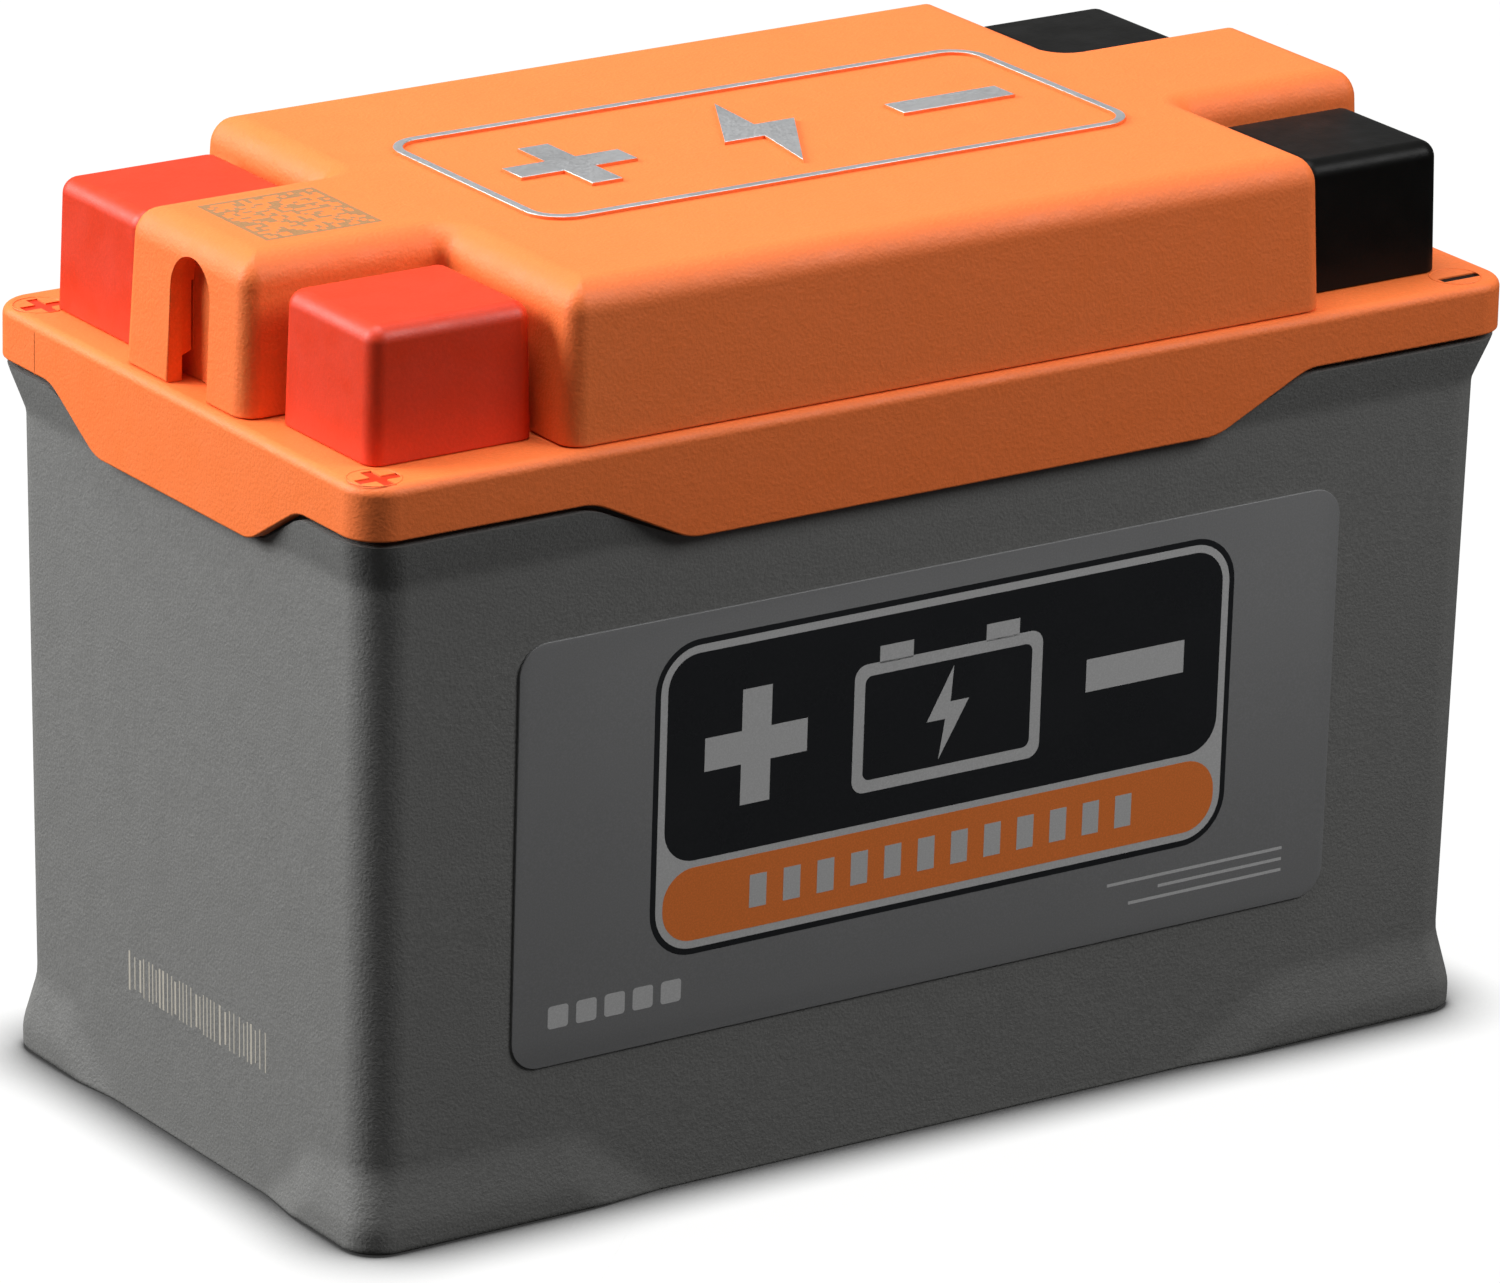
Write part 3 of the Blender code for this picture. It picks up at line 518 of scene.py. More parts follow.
def make_lid(surface):
    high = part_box("lid")[1]
    half = (high.x, high.y)
    deck = high.z
    underside = deck - LID_DECK
    skirt_inner = -LID_SKIRT
    rings = [
        wall_ring(half, LID_RADIUS, lambda share: skirt_inner, lambda share: underside),
        wall_ring(half, LID_RADIUS, lambda share: skirt_inner, skirt_edge),
    ]
    for i in range(4):
        angle = QUARTER * i / 3
        inset = -LID_LIP * (1 - math.sin(angle))
        rise = LID_LIP * (1 - math.cos(angle))
        rings.append(
            wall_ring(half, LID_RADIUS, lambda share: inset, lambda share: skirt_edge(share) + rise)
        )
    for i in range(9):
        angle = QUARTER * i / 8
        inset = -LID_EDGE * (1 - math.cos(angle))
        z = deck - LID_EDGE * (1 - math.sin(angle))
        rings.append(wall_ring(half, LID_RADIUS, lambda share: inset, lambda share: z))
    lid = mesh_object("lid_shell", solid(rings))
    cut(lid, "lid_openings", lid_openings(underside, deck))
    smooth_flats(lid, 40.0)
    return finish_piece(lid, surface, replaces=["lid"])


def mark_outline(side, centre, grow=0.0):
    """A plus on the positive side, a minus on the negative side."""
    if side < 0:
        return plus_outline(MARK_ARM + grow, MARK_STROKE + grow, centre)
    return rectangle(MARK_ARM + grow, MARK_STROKE + grow, centre)


def lid_openings(underside, deck):
    """Tool shapes: the window under the cover, the stem holes and the sunk polarity marks."""
    openings = prism(rounded_rectangle(42 * MM, 30 * MM, 3 * MM), underside - MM, deck + MM)
    for post in posts().values():
        hole = circle(STEM_HOLE_RADIUS, 40, (post.x, post.y))
        prism(hole, underside - MM, deck + MM, openings)
    for sx in ENDS.values():
        for sy in SIDES.values():
            centre = (MARK_X[sx], MARK_Y[sy])
            prism(mark_outline(sx, centre), deck - MARK_DEPTH, deck + MM, openings)
    return openings


def make_marks(surfaces):
    """Paint in the sunk marks, and the faint ring that the mould's pin left round each."""
    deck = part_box("lid")[1].z
    for pole, sx in ENDS.items():
        slot = "red_plastic" if sx < 0 else "black_plastic"
        for side, sy in SIDES.items():
            centre = (MARK_X[sx], MARK_Y[sy])
            inked = mark_outline(sx, centre, -0.02 * MM)
            ink = prism(inked, deck - MARK_DEPTH - 0.05 * MM, deck - 0.16 * MM)
            paint = mesh_object(f"polarity_paint_{pole}_{side}", ink)
            finish_piece(paint, surfaces[slot])
            middle = (centre[0] - 0.3 * MM, centre[1] + 0.4 * MM)
            band = ring_band(MARK_RING, 0.07 * MM, deck, middle)
            witness = mesh_object(f"mould_ring_{pole}_{side}", band)
            finish_piece(witness, surfaces["orange_plastic"])


def ring_band(radius, thickness, z, centre):
    """A thin raised ring, half sunk in the surface that it lies on."""
    rings = []
    for i in range(6):
        angle = 2 * math.pi * i / 6
        outline = circle(radius + thickness * math.cos(angle), 48, centre)
        rings.append(at_height(outline, z + thickness * math.sin(angle)))
    return solid(rings, closed=True)


def make_parting_line(surface):
    """The thin raised line that the mould's halves left on the lid's end."""
    low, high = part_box("lid")
    line = rounded_rectangle(0.05 * MM, (high.z - LID_EDGE - SKIRT_SHORT_Z) / 2, 0.04 * MM, 3)
    bm = prism(line, -0.05 * MM, 0.03 * MM)
    middle = (high.z - LID_EDGE + SKIRT_SHORT_Z) / 2
    place = Matrix((
        (0, 0, -1, low.x + 0.03 * MM),
        (1, 0, 0, PARTING_LINE_Y),
        (0, 1, 0, middle),
        (0, 0, 0, 1),
    ))
    bm.transform(place)
    finish_piece(mesh_object("lid_parting_line", bm), surface)


# ---------------------------------------------------------------- cover


def cover_ring(grow, z):
    half = [reach + grow for reach in COVER_HALF]
    arm = [reach + grow for reach in COVER_ARM]
    convex = max(COVER_CORNER + min(grow, 0.0), COVER_TOP_CORNER)
    return at_height(cross_outline(half, arm, convex, COVER_INNER_CORNER - min(grow, 0.0)), z)


def make_cover(surface):
    low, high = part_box("top_cover")
    foot = low.z - 0.22 * MM
    lip = 0.3 * MM
    rings = [cover_ring(COVER_DRAFT - lip, foot), cover_ring(COVER_DRAFT - 0.3 * lip, foot + 0.3 * lip)]
    rings.append(cover_ring(COVER_DRAFT, foot + lip))
    for i in range(11):
        angle = QUARTER * i / 10
        inset = COVER_EDGE * (1 - math.cos(angle))
        rings.append(cover_ring(-COVER_DRAFT - inset, high.z - COVER_EDGE * (1 - math.sin(angle))))
    cover = mesh_object("cover_shell", solid(rings))

    slot_back = COVER_ARM[0] - SLOT_DEPTH
    half = [reach - COVER_WALL for reach in COVER_HALF]
    arm = (slot_back - SLOT_BACK_WALL, COVER_ARM[1] - COVER_WALL)
    hollow = cross_outline(half, arm, COVER_TOP_CORNER, COVER_INNER_CORNER + COVER_WALL)
    cut(cover, "cover_hollow", prism(hollow, foot - MM, high.z - COVER_WALL))
    cut(cover, "end_slots", slot_tools(foot, slot_back, high.z))
    cut(cover, "side_pockets", pocket_tools(foot, slot_back))
    cut(cover, "slot_ribs", rib_tools(foot, slot_back))
    cut(cover, "back_slits", slit_tools(foot, slot_back))
    smooth_flats(cover, 40.0)
    return finish_piece(cover, surface, replaces=["top_cover"])


def slot_outline(grow, foot):
    top = (SLOT_Y, SLOT_TOP_Z - SLOT_HALF_WIDTH)
    outline = arc(top, SLOT_HALF_WIDTH + grow, 0, math.pi, 28)
    outline += [(SLOT_Y - SLOT_HALF_WIDTH - grow, foot - MM), (SLOT_Y + SLOT_HALF_WIDTH + grow, foot - MM)]
    return outline


def end_face_x(z, foot, top):
    """Where the cover's drafted end face is at a height."""
    share = (z - foot) / (top - foot)
    return COVER_ARM[0] + COVER_DRAFT * (1 - 2 * share)


def slot_tools(foot, slot_back, top):
    """Arched cutters for both ends, opening out in a small radius at the face."""
    tools = bmesh.new()
    for side in ENDS.values():
        rings = [[(side * slot_back, y, z) for y, z in slot_outline(0.0, foot)]]
        for i in range(5):
            angle = QUARTER * i / 4
            grow = SLOT_LIP * (1 - math.cos(angle))
            sink = SLOT_LIP * (1 - math.sin(angle))
            outline = slot_outline(grow, foot)
            rings.append([(side * (end_face_x(z, foot, top) - sink), y, z) for y, z in outline])
        outside = side * (COVER_ARM[0] + 2 * MM)
        rings.append([(outside, y, z) for y, z in slot_outline(1.2 * SLOT_LIP, foot)])
        solid(rings, bm=tools)
    return tools


def pocket_tools(foot, slot_back):
    """Low pockets on both sides of each slot, behind the face."""
    tools = bmesh.new()
    front = COVER_ARM[0] - SLOT_FACE_WALL
    for side in ENDS.values():
        middle = (side * (front + slot_back) / 2, SLOT_Y)
        pocket = rectangle((front - slot_back) / 2, SIDE_POCKET_HALF_WIDTH, middle)
        rings = [at_height(pocket, foot - MM)]
        slope = (SIDE_POCKET_HEIGHT[1] - SIDE_POCKET_HEIGHT[0]) / (front - slot_back)
        rings.append([(x, y, foot + SIDE_POCKET_HEIGHT[0] + slope * (front - abs(x))) for x, y in pocket])
        solid(rings, bm=tools)
    return tools


def rib_tools(foot, slot_back):
    """Cutters that widen each slot a little behind the face."""
    tools = bmesh.new()
    wide = slot_outline(SLOT_RIB_STEP, foot)
    for side in ENDS.values():
        reaches = (slot_back + 0.01 * MM, COVER_ARM[0] - SLOT_FACE_WALL)
        solid([[(side * reach, y, z) for y, z in wide] for reach in reaches], bm=tools)
    return tools


def slit_tools(foot, slot_back):
    """Cutters for a thin slit up each slot's back corner."""
    tools = bmesh.new()
    for side in ENDS.values():
        middle = (side * (slot_back + 0.2 * MM), SLOT_Y + SLOT_HALF_WIDTH)
        prism(rectangle(0.13 * MM, 1.2 * MM, middle), foot - 1.1 * MM, SLOT_TOP_Z - SLOT_HALF_WIDTH, tools)
    return tools


# ---------------------------------------------------------------- badge and code


def make_badge(surfaces):
    """Symbols moulded proud of the cover, each with a metal foil on its top."""
    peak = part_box("badge_frame")[1].z
    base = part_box("top_cover")[1].z
    foil = 0.08 * MM
    for name in ("badge_frame", "badge_plus", "badge_bolt", "badge_minus"):
        relief = badge_shape(name, 0.0, base - 0.02 * MM, peak - foil)
        finish_piece(mesh_object(name + "_relief", relief), surfaces["orange_plastic"])
        top = badge_shape(name, 0.07 * MM, peak - foil, peak - 0.005 * MM)
        piece = mesh_object(name + "_foil", top)
        bevel(piece, 0.03 * MM, 2)
        finish_piece(piece, surfaces["silver_badge"], replaces=[name])


def badge_shape(name, inset, bottom, top):
    low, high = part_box(name)
    if name == "badge_frame":
        band = 1.2 * MM
        radius = 4.5 * MM
        outer = rounded_rectangle(high.x - inset, high.y - inset, radius - inset)
        inner = rounded_rectangle(high.x - band + inset, high.y - band + inset, radius - band + inset)
        section = ((outer, bottom), (outer, top), (inner, top), (inner, bottom))
        return solid([at_height(outline, z) for outline, z in section], closed=True)
    centre = ((low.x + high.x) / 2, (low.y + high.y) / 2)
    half = ((high.x - low.x) / 2 - inset, (high.y - low.y) / 2 - inset)
    if name == "badge_plus":
        return prism(plus_outline(half[0], 2.0 * MM - inset, centre), bottom, top)
    if name == "badge_minus":
        return prism(rectangle(*half, centre), bottom, top)
    return prism(bolt_outline(2 * half[1], centre), bottom, top)


def make_code(surface):
    """A patch of burnt squares on the positive arm: no finder marks and no message."""
    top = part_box("top_cover")[1].z
    pitch = 0.6 * MM
    count = 24
    filled_share = 0.46
    corner = (CODE_X - pitch * count / 2, -pitch * count / 2)
    draw = random.Random(12)
    bm = bmesh.new()
    for row in range(count):
        filled = [draw.random() < filled_share or row in (0, count - 1) for _ in range(count)]
        filled[0] = filled[-1] = True
        start = None
        for column, on in enumerate(filled + [False]):
            if on and start is None:
                start = column
            elif not on and start is not None:
                middle_x = corner[0] + pitch * (start + column) / 2
                middle = (middle_x, corner[1] + pitch * (row + 0.5))
                block = rectangle(pitch * (column - start) / 2, pitch * 0.46, middle)
                prism(block, top - 0.01 * MM, top + 0.012 * MM, bm)
                start = None
    finish_piece(mesh_object("laser_code", bm), surface)


def make_tick_row(surface):
    """A row of pale laser strokes, low on the positive end of the case."""
    draw = random.Random(5)
    low_z, high_z = 14.2 * MM, 18.8 * MM
    middle_z = (low_z + high_z) / 2
    last_y = -16.6 * MM
    lean = (CASE_HALF_TOP[0] - CASE_HALF_BASE[0]) / SKIRT_SHORT_Z
    x = -case_half(middle_z)[0]
    bm = bmesh.new()
    place = 12.6 * MM
    while place > last_y:
        width = draw.choice((0.2, 0.2, 0.34)) * MM
        half_height = (high_z - low_z) / 2 * draw.choice((1.0, 1.0, 0.82))
        tick = rectangle(width / 2, half_height, (place, middle_z))
        outer = [(x - 0.012 * MM - lean * (z - middle_z), y, z) for y, z in tick]
        inner = [(px + 0.03 * MM, y, z) for px, y, z in outer]
        solid([inner, outer], bm=bm)
        place -= draw.choice((0.75, 0.9, 1.15)) * MM
    finish_piece(mesh_object("laser_tick_row", bm), surface)


# ---------------------------------------------------------------- label


def label_matrix():
    """The label's plane: X along its length, Y up the drafted wall, Z outwards."""
    low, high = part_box("front_label")
    thickness = 0.15 * MM
    lean = math.asin((high.y - low.y - thickness) / (high.z - low.z))
    up = Vector((0.0, -math.sin(lean), math.cos(lean)))
    out = Vector((0.0, -math.cos(lean), -math.sin(lean)))
    middle = (low + high) / 2 + out * thickness / 2
    matrix = Matrix.Identity(4)
    for column, axis in enumerate((Vector((1, 0, 0)), up, out, middle)):
        for row in range(3):
            matrix[row][column] = axis[row]
    half = ((high.x - low.x) / 2, (high.z - low.z) / 2)
    return matrix, half


def make_label(surfaces):
    matrix, half = label_matrix()
    base = bevelled_prism(
        lambda inset: rounded_rectangle(half[0] - inset, half[1] - inset, 3.5 * MM - inset, 12),
        -0.25 * MM,
        0.0,
        0.08 * MM,
    )
    base.transform(matrix)
    label = mesh_object("front_label_film", base)
    finish_piece(label, surfaces["grey_label"], replaces=["front_label"])
    make_label_print(surfaces, matrix)


def make_label_print(surfaces, matrix):
    """Generic print: a dark panel with a silver edge, an orange band and plain symbols."""
    panel = Vector((1.5 * MM, 3.2 * MM))
    half = Vector((36.5 * MM, 16.4 * MM))
    band = 8.4 * MM
    print_layer(surfaces, matrix, "print_edge", "label_black", 1, [
        rounded_rectangle(half.x + 1.6 * MM, half.y + 1.6 * MM, 5.6 * MM, 10, panel),
    ])
    print_layer(surfaces, matrix, "print_rim", "label_silver", 2, [
        rounded_rectangle(half.x + 0.9 * MM, half.y + 0.9 * MM, 4.9 * MM, 10, panel),
    ])
    field_middle = panel + Vector((0.0, band / 2 + 0.4 * MM))
    field_half = (half.x, half.y - band / 2 - 0.4 * MM)
    band_middle = panel - Vector((0.0, half.y - band / 2))
    print_layer(surfaces, matrix, "print_field", "label_black", 3, [
        rounded_rectangle(*field_half, 3.9 * MM, 10, field_middle),
    ])
    print_layer(surfaces, matrix, "print_band", "label_orange", 3, [
        rounded_rectangle(half.x, band / 2, 3.9 * MM, 10, band_middle),
    ])
    x, y = field_middle
    battery_middle = (x, y - 0.8 * MM)
    symbols = [
        plus_outline(6.6 * MM, 1.9 * MM, (x - 25.0 * MM, y)),
        rectangle(6.6 * MM, 1.9 * MM, (x + 25.0 * MM, y)),
        rounded_rectangle(12.4 * MM, 7.4 * MM, 1.6 * MM, 6, battery_middle),
        rectangle(2.2 * MM, 1.0 * MM, (x - 7.0 * MM, y + 7.4 * MM)),
        rectangle(2.2 * MM, 1.0 * MM, (x + 7.0 * MM, y + 7.4 * MM)),
    ]
    print_layer(surfaces, matrix, "print_symbols", "label_silver", 4, symbols)
    inside = [rounded_rectangle(11.0 * MM, 6.0 * MM, 0.9 * MM, 6, battery_middle)]
    print_layer(surfaces, matrix, "print_battery_inside", "label_black", 5, inside)
    spark = [bolt_outline(10.6 * MM, battery_middle)]
    print_layer(surfaces, matrix, "print_spark", "label_silver", 6, spark)
    bars = [
        rectangle(1.1 * MM, 1.9 * MM, (band_middle.x + (i - 5.5) * 4.4 * MM, band_middle.y))
        for i in range(12)
    ]
    print_layer(surfaces, matrix, "print_bars", "label_silver", 4, bars)
    gauge = [
        rounded_rectangle(1.3 * MM, 1.3 * MM, 0.4 * MM, 4, ((-48 + i * 3.6) * MM, -18.6 * MM))
        for i in range(5)
    ]
    rules = [
        rectangle(length * MM / 2, 0.18 * MM, ((48 - length / 2) * MM, (-17.6 - i * 1.3) * MM))
        for i, length in enumerate((24.0, 17.0, 21.0))
    ]
    print_layer(surfaces, matrix, "print_gauge", "label_silver", 1, gauge + rules)


def print_layer(surfaces, matrix, name, surface, level, outlines):
    """Flat ink shapes on the label, each level a little higher than the one before."""
    bm = bmesh.new()
    top = 0.008 * MM * level
    for outline in outlines:
        prism(outline, -0.02 * MM, top, bm)
    bm.transform(matrix)
    finish_piece(mesh_object(name, bm), surfaces[surface])


# ---------------------------------------------------------------- terminals


def posts():
    """The middle of each terminal post's top, by its name's ending."""
    found = {}
    for pole in ENDS:
        for side in SIDES:
            low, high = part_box(f"terminal_post_{pole}_{side}")
            found[f"{pole}_{side}"] = Vector(((low.x + high.x) / 2, (low.y + high.y) / 2, high.z))
    return found


def make_caps(surfaces):
    radius, edge, wall, draft = 1.9 * MM, 1.85 * MM, 1.4 * MM, 0.15 * MM
    lip, inner_edge = 0.25 * MM, 1.2 * MM
    for key in posts():
        node = "terminal_cap_" + key
        low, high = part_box(node)
        middle = ((low.x + high.x) / 2, (low.y + high.y) / 2)
        half = ((high.x - low.x) / 2 - draft, (high.y - low.y) / 2 - draft)
        foot = low.z - 0.25 * MM
        height = high.z - foot

        def ring(inset, rise):
            lean = draft * (1 - 2 * rise / height)
            size = [reach + lean - inset for reach in half]
            outline = rounded_rectangle(*size, max(radius - inset, 0.35 * MM), 10, middle)
            return at_height(outline, foot + rise)

        roof = height - wall
        rings = [ring(wall + inner_edge, roof), ring(wall, roof - inner_edge), ring(wall, 0.0)]
        for i in range(4):
            angle = i * QUARTER / 3
            rings.append(ring(lip * (1 - math.sin(angle)), lip * (1 - math.cos(angle))))
        for i in range(9):
            angle = QUARTER * i / 8
            rings.append(ring(edge * (1 - math.cos(angle)), height - edge * (1 - math.sin(angle))))
        cap = mesh_object(node + "_shell", solid(rings))
        smooth_flats(cap, 40.0)
        slot = "red_plastic" if key.startswith("positive") else "black_plastic"
        finish_piece(cap, surfaces[slot], "cap_" + key, [node])


def make_posts(surface):
    half, floor, window_half, window_height = 6.5 * MM, 1.3 * MM, 5.3 * MM, 3.5 * MM
    for key, top in posts().items():
        node = "terminal_post_" + key
        low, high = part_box(node)
        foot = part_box("lid")[1].z + 0.3 * MM
        centre = (top.x, top.y)
        window_low = foot + floor
        post = mesh_object(node + "_block", prism(rectangle(half, half, centre), foot, high.z))
        window = rectangle(half + MM, window_half, centre)
        cut(post, "nut_window", prism(window, window_low, window_low + window_height))
        cut(post, "bolt_hole", prism(circle(3.3 * MM, 40, centre), window_low + MM, high.z + MM))
        cut(post, "stem", prism(circle(3.7 * MM, 40, centre), low.z, foot + 0.5 * MM), "UNION")
        bevel(post, 0.3 * MM, 2, 50.0)
        smooth_flats(post, 30.0)
        finish_piece(post, surface, replaces=[node])


def hexagon(across_flats, steps=48):
    """A hexagon with many points, so that it can meet a circle ring by ring."""
    outline = []
    for x, y in circle(1.0, steps):
        angle = math.atan2(y, x) % (math.pi / 3) - math.pi / 6
        reach = across_flats / 2 / math.cos(angle)
        outline.append((x * reach, y * reach))
    return outline


def thread_rings(radius, depth, low, high, steps, pitch=1.0 * MM):
    """Rings whose radius follows a thread, one turn a pitch, faded out at both ends."""
    rings = []
    per_pitch = 8
    count = round((high - low) / pitch * per_pitch)
    for level in range(count + 1):
        z = low + (high - low) * level / count
        fade = min(level / per_pitch, (count - level) / per_pitch, 1.0)
        ring = []
        for x, y in circle(1.0, steps):
            phase = (z / pitch - math.atan2(y, x) / (2 * math.pi)) % 1.0
            groove = depth * (1 - abs(2 * phase - 1)) * fade
            ring.append((x * (radius - groove), y * (radius - groove), z))
        rings.append(ring)
    return rings


def make_bolts(surface):
    steps = 48
    head_height, flats = 2.8 * MM, 10.0 * MM
    for key in posts():
        node = "terminal_bolt_" + key
        low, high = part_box(node)
        middle = Vector(((low.x + high.x) / 2, (low.y + high.y) / 2, 0.0))
        head_top = high.z
        seat = head_top - head_height
        tip = low.z
        rings = [at_height(circle(2.3 * MM, steps), tip)]
        rings += thread_rings(3.0 * MM, 0.5 * MM, tip + 0.6 * MM, seat - 0.5 * MM, steps)
        rings.append(at_height(circle(3.0 * MM, steps), seat))
        rings += [at_height(hexagon(flats), seat), at_height(hexagon(flats), head_top - 0.55 * MM)]
        rings.append(at_height([(x * 0.985, y * 0.985) for x, y in hexagon(flats)], head_top - 0.3 * MM))
        rings.append(at_height(circle(4.75 * MM, steps), head_top))
        bolt = mesh_object(node + "_fine", solid(rings))
        recess = solid([
            at_height(plus_outline(2.5 * MM, 0.62 * MM), head_top + MM),
            at_height(plus_outline(2.5 * MM, 0.62 * MM), head_top),
            at_height(plus_outline(1.0 * MM, 0.5 * MM), head_top - 1.7 * MM),
        ])
        cut(bolt, "cross_recess", recess)
        bolt.data.transform(Matrix.Translation(middle))
        smooth_flats(bolt, 35.0)
        finish_piece(bolt, surface, "bolt_" + key, [node])


def make_washers(surface):
    outer, hole, edge = 6.0 * MM, 3.3 * MM, 0.15 * MM
    for key in posts():
        node = "bolt_washer_" + key
        low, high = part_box(node)
        middle = ((low.x + high.x) / 2, (low.y + high.y) / 2)
        section = (
            (outer - edge, low.z), (outer, low.z + edge), (outer, high.z - edge), (outer - edge, high.z),
            (hole + edge, high.z), (hole, high.z - edge), (hole, low.z + edge), (hole + edge, low.z),
        )
        bm = solid([at_height(circle(radius, 48, middle), z) for radius, z in section], closed=True)
        washer = mesh_object(node + "_fine", bm)
        finish_piece(washer, surface, "washer_" + key, [node])


def make_nuts(surface):
    for key in posts():
        node = "square_nut_" + key
        low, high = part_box(node)
        middle = ((low.x + high.x) / 2, (low.y + high.y) / 2)
        square = []
        for x, y in circle(1.0, 48):
            reach = 5.0 * MM / max(abs(x), abs(y))
            square.append((middle[0] + x * reach, middle[1] + y * reach))
        hole = circle(3.3 * MM, 48, middle)
        section = ((square, low.z), (square, high.z), (hole, high.z), (hole, low.z))
        rings = [at_height(outline, z) for outline, z in section]
        nut = mesh_object(node + "_fine", solid(rings, closed=True))
        bevel(nut, 0.3 * MM, 2, 50.0)
        finish_piece(nut, surface, replaces=[node])


# ---------------------------------------------------------------- inner parts


def turned(name, profile, steps=48):
    """A round body through the radius and height of each point of its profile."""
    return mesh_object(name, solid([at_height(circle(radius, steps), z) for radius, z in profile]))


def make_cells(surfaces):
    """Cans in shrink film that folds over both ends, with a bare positive button."""
    fold = 0.9 * MM
    bends = [(math.sin(i * QUARTER / 4), math.cos(i * QUARTER / 4)) for i in range(5)]
    for row in SIDES:
        for column in range(1, 5):
            node = f"cell_{row}_{column}"
            low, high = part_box(node)
            middle = (low + high) / 2
            radius = (high.x - low.x) / 2
            half = (high.z - low.z) / 2
            shoulder = half - fold
            wrap = [(11.5 * MM, 0.15 * MM - half), (radius - fold, 0.02 * MM - half)]
            wrap += [(radius - fold * (1 - sin), fold * (1 - cos) - half) for sin, cos in bends[1:]]
            wrap += [(radius - fold * (1 - cos), shoulder - fold * (1 - sin)) for sin, cos in bends]
            wrap += [(10.5 * MM, shoulder - 0.02 * MM), (10.5 * MM, shoulder - 0.25 * MM)]
            cell = turned(node + "_wrap", wrap, 64)
            button = [(9.0 * MM, shoulder - 0.3 * MM), (9.0 * MM, shoulder - 0.1 * MM)]
            button += [(5.6 * MM, shoulder), (5.0 * MM, half - 0.15 * MM), (4.8 * MM, half)]
            top = turned(node + "_button", button)
            bottom = turned(node + "_can_end", [(11.0 * MM, -half), (11.0 * MM, 0.3 * MM - half)])
            turn = Matrix.Translation(middle) @ Matrix.Rotation(math.pi if column % 2 == 0 else 0.0, 4, "X")
            for piece, slot in ((cell, "blue_wrap"), (top, "aluminium"), (bottom, "aluminium")):
                piece.data.transform(turn)
                finish_piece(piece, surfaces[slot])
            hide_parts(node)


def make_board_parts(surfaces):
    """Small chips and solder pads on the protection board."""
    low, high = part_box("protection_board")
    spreader_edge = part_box("heat_spreader")[1].y
    draw = random.Random(3)
    chips = bmesh.new()
    pads = bmesh.new()
    foot = high.z - 0.02 * MM
    for column in range(14):
        x = low.x + 6 * MM + column * 5 * MM
        y = spreader_edge + (3.2 + draw.uniform(-0.4, 0.4)) * MM
        half = (draw.choice((0.9, 1.4, 1.9)) * MM, draw.choice((0.6, 1.1)) * MM)
        prism(rectangle(*half, (x, y)), foot, high.z + draw.choice((0.5, 0.9)) * MM, chips)
        prism(rectangle(1.3 * MM, 1.6 * MM, (x, low.y + 4 * MM)), foot, high.z + 0.06 * MM, pads)
    chip_row = mesh_object("board_chips", chips)
    bevel(chip_row, 0.08 * MM, 1)
    finish_piece(chip_row, surfaces["black_holder"])
    finish_piece(mesh_object("board_pads", pads), surfaces["tinned_brass"])


def finish_cad_nodes(surfaces):
    """The CAD nodes that stay get a finished material and softened edges."""
    slots = {entry["node"]: entry["material_slot"] for entry in frame["record"]["subparts"]}
    for name, node in frame["nodes"].items():
        if node.hide_render:
            continue
        node.data.materials.clear()
        node.data.materials.append(surfaces[slots[name]])
        bevel(node, 0.15 * MM, 2, 50.0)


# ---------------------------------------------------------------- stage


def make_floor():
    """A floor that glows pale for camera rays only, with a painted contact shadow that darkens its glow near
    the object, and that bounces little light.
    """
    bm = bmesh.new()
    bmesh.ops.create_grid(bm, x_segments=1, y_segments=1, size=6.0)
    floor = mesh_object("studio_floor", bm)
    floor.location.z = -0.02 * MM
    surface = Surface("studio_floor", (0.03, 0.03, 0.03), 0.9, Specular_IOR_Level=0.0)
    # Painted contact shadow: ambient occlusion near the object darkens the floor's glow.
    painted_contact_shadow = surface.node("ShaderNodeAmbientOcclusion", Distance=9 * MM, samples=16)
    painted_shadow_factor = surface.spread(painted_contact_shadow.outputs["AO"], 0.03, 0.98, 0.5, 1.0)
    # Painted glow: the floor emits light for camera rays only, so it looks pale though it bounces little
    # light.
    seen = surface.node("ShaderNodeLightPath").outputs["Is Camera Ray"]
    painted_glow = surface.node("ShaderNodeMath", operation="MULTIPLY")
    surface.link(painted_shadow_factor, painted_glow.inputs[0])
    surface.link(seen, painted_glow.inputs[1])
    surface.shader.inputs["Emission Color"].default_value = (1.0, 1.0, 0.995, 1.0)
    surface.link(painted_glow.outputs["Value"], surface.shader.inputs["Emission Strength"])
    floor.data.materials.append(surface.material)


def area_light(name, place, target, size, power):
    lamp = bpy.data.lights.new(name, "AREA")
    lamp.shape = "DISK"
    lamp.size = size
    lamp.energy = power
    light = bpy.data.objects.new(name, lamp)
    bpy.context.scene.collection.objects.link(light)
    light.location = place
    light.rotation_euler = (Vector(target) - Vector(place)).to_track_quat("-Z", "Y").to_euler()


def make_world(strength):
    world = bpy.data.worlds.new("studio")
    world.use_nodes = True
    background = world.node_tree.nodes["Background"]
    background.inputs["Color"].default_value = (1.0, 1.0, 1.0, 1.0)
    background.inputs["Strength"].default_value = strength
    bpy.context.scene.world = world


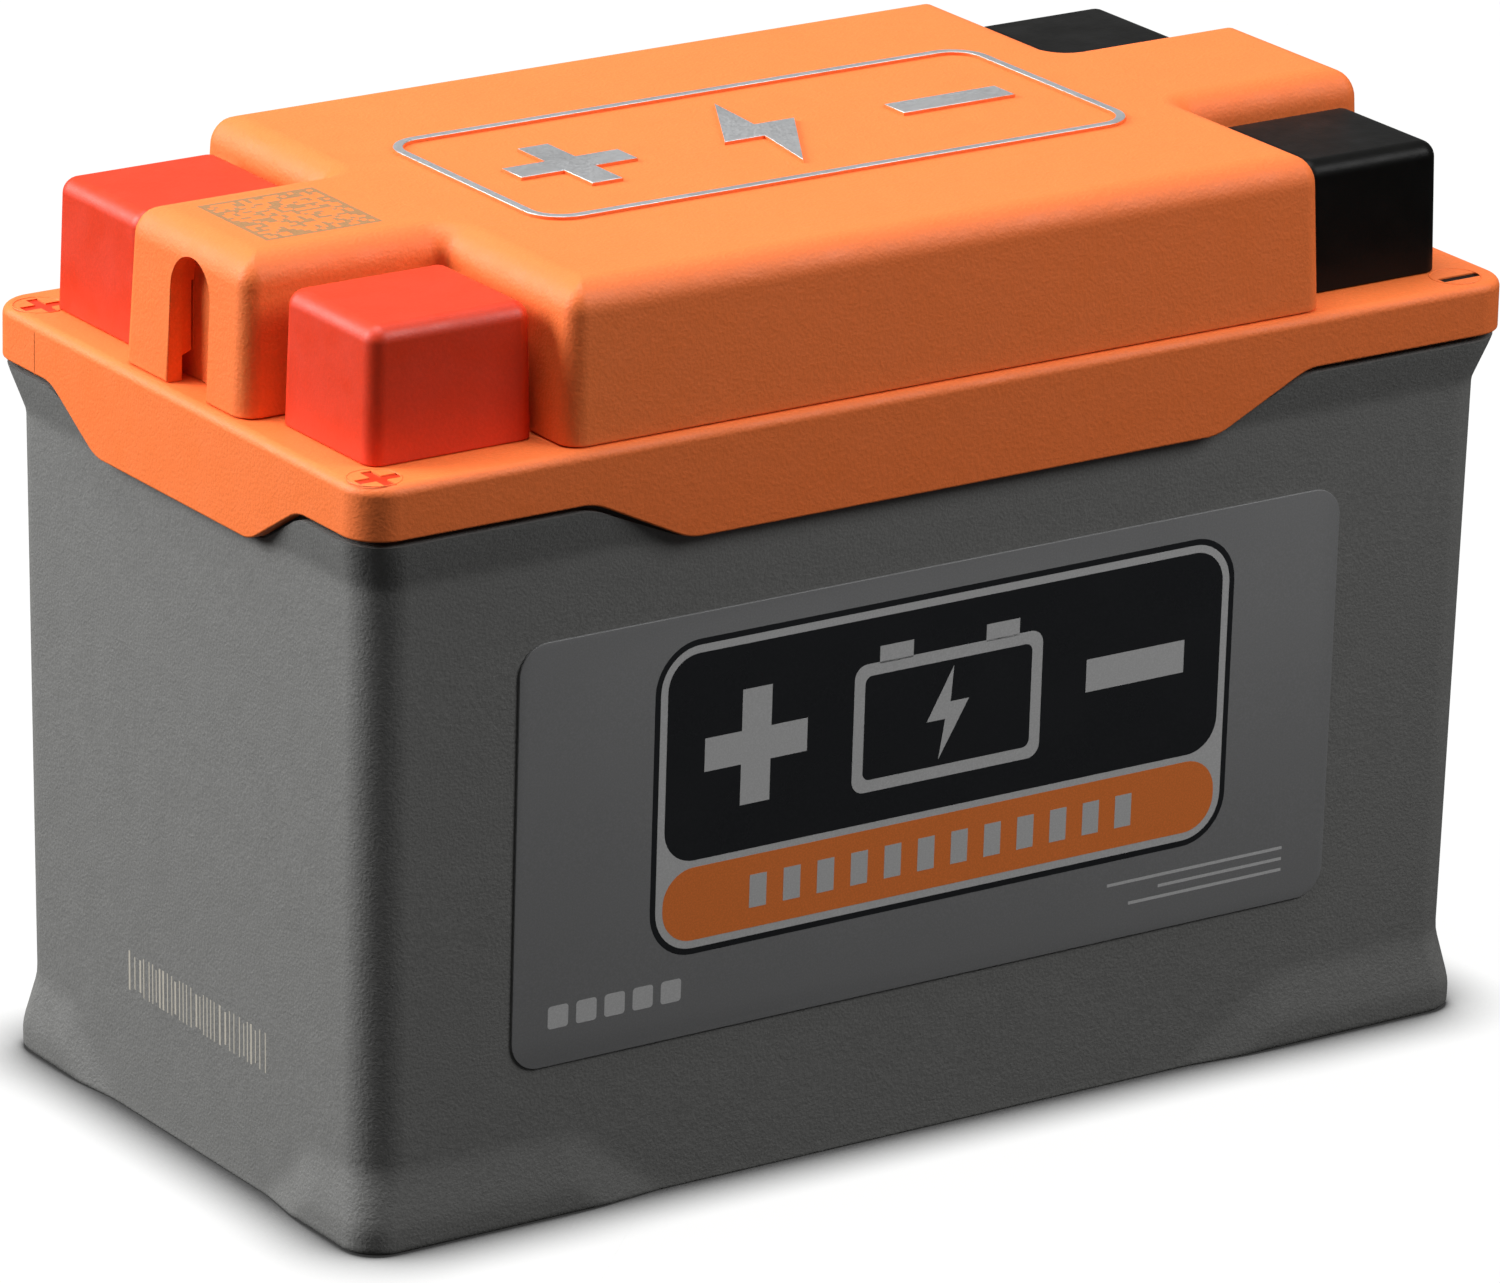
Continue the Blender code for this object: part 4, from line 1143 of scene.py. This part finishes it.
def make_camera():
    cos_e, sin_e = math.cos(CAMERA_ELEVATION), math.sin(CAMERA_ELEVATION)
    cos_a, sin_a = math.cos(CAMERA_AZIMUTH), math.sin(CAMERA_AZIMUTH)
    back = Vector((sin_a * cos_e, -cos_a * cos_e, sin_e))
    right = Vector((cos_a, sin_a, 0.0))
    up = back.cross(right)
    side = right * math.cos(CAMERA_ROLL) + up * math.sin(CAMERA_ROLL)
    top = up * math.cos(CAMERA_ROLL) - right * math.sin(CAMERA_ROLL)
    lens = bpy.data.cameras.new("camera")
    lens.lens = CAMERA_LENS
    lens.sensor_width = SENSOR_WIDTH
    lens.sensor_fit = "HORIZONTAL"
    lens.clip_start = 0.01
    camera = bpy.data.objects.new("camera", lens)
    bpy.context.scene.collection.objects.link(camera)
    camera.matrix_world = Matrix((
        (side.x, top.x, back.x, CAMERA_PLACE[0]),
        (side.y, top.y, back.y, CAMERA_PLACE[1]),
        (side.z, top.z, back.z, CAMERA_PLACE[2]),
        (0.0, 0.0, 0.0, 1.0),
    ))
    bpy.context.scene.camera = camera


def make_stage():
    make_camera()
    make_floor()
    make_world(0.09)
    middle = (0.0, 0.0, 0.05)
    area_light("key_left", (-0.6, 0.42, 0.44), middle, 0.5, 9.4)
    area_light("top_box", (-0.1, 0.15, 1.4), middle, 1.0, 17.5)
    area_light("front_fill", (0.42, -0.5, 0.58), middle, 0.45, 3.6)
    area_light("rear_panel", (0.9, 1.25, 0.45), middle, 1.4, 0.8)
    bpy.context.scene.view_settings.view_transform = "Standard"


def main():
    make_stage()
    surfaces = make_surfaces()
    make_case(surfaces["grey_case"])
    make_lid(surfaces["orange_plastic"])
    make_marks(surfaces)
    make_parting_line(surfaces["orange_plastic"])
    make_cover(surfaces["orange_plastic"])
    make_badge(surfaces)
    make_code(surfaces["laser_mark"])
    make_tick_row(surfaces["laser_pale"])
    make_label(surfaces)
    make_caps(surfaces)
    make_posts(surfaces["tinned_brass"])
    make_bolts(surfaces["zinc_steel"])
    make_washers(surfaces["zinc_steel"])
    make_nuts(surfaces["zinc_steel"])
    make_cells(surfaces)
    make_board_parts(surfaces)
    finish_cad_nodes(surfaces)


main()
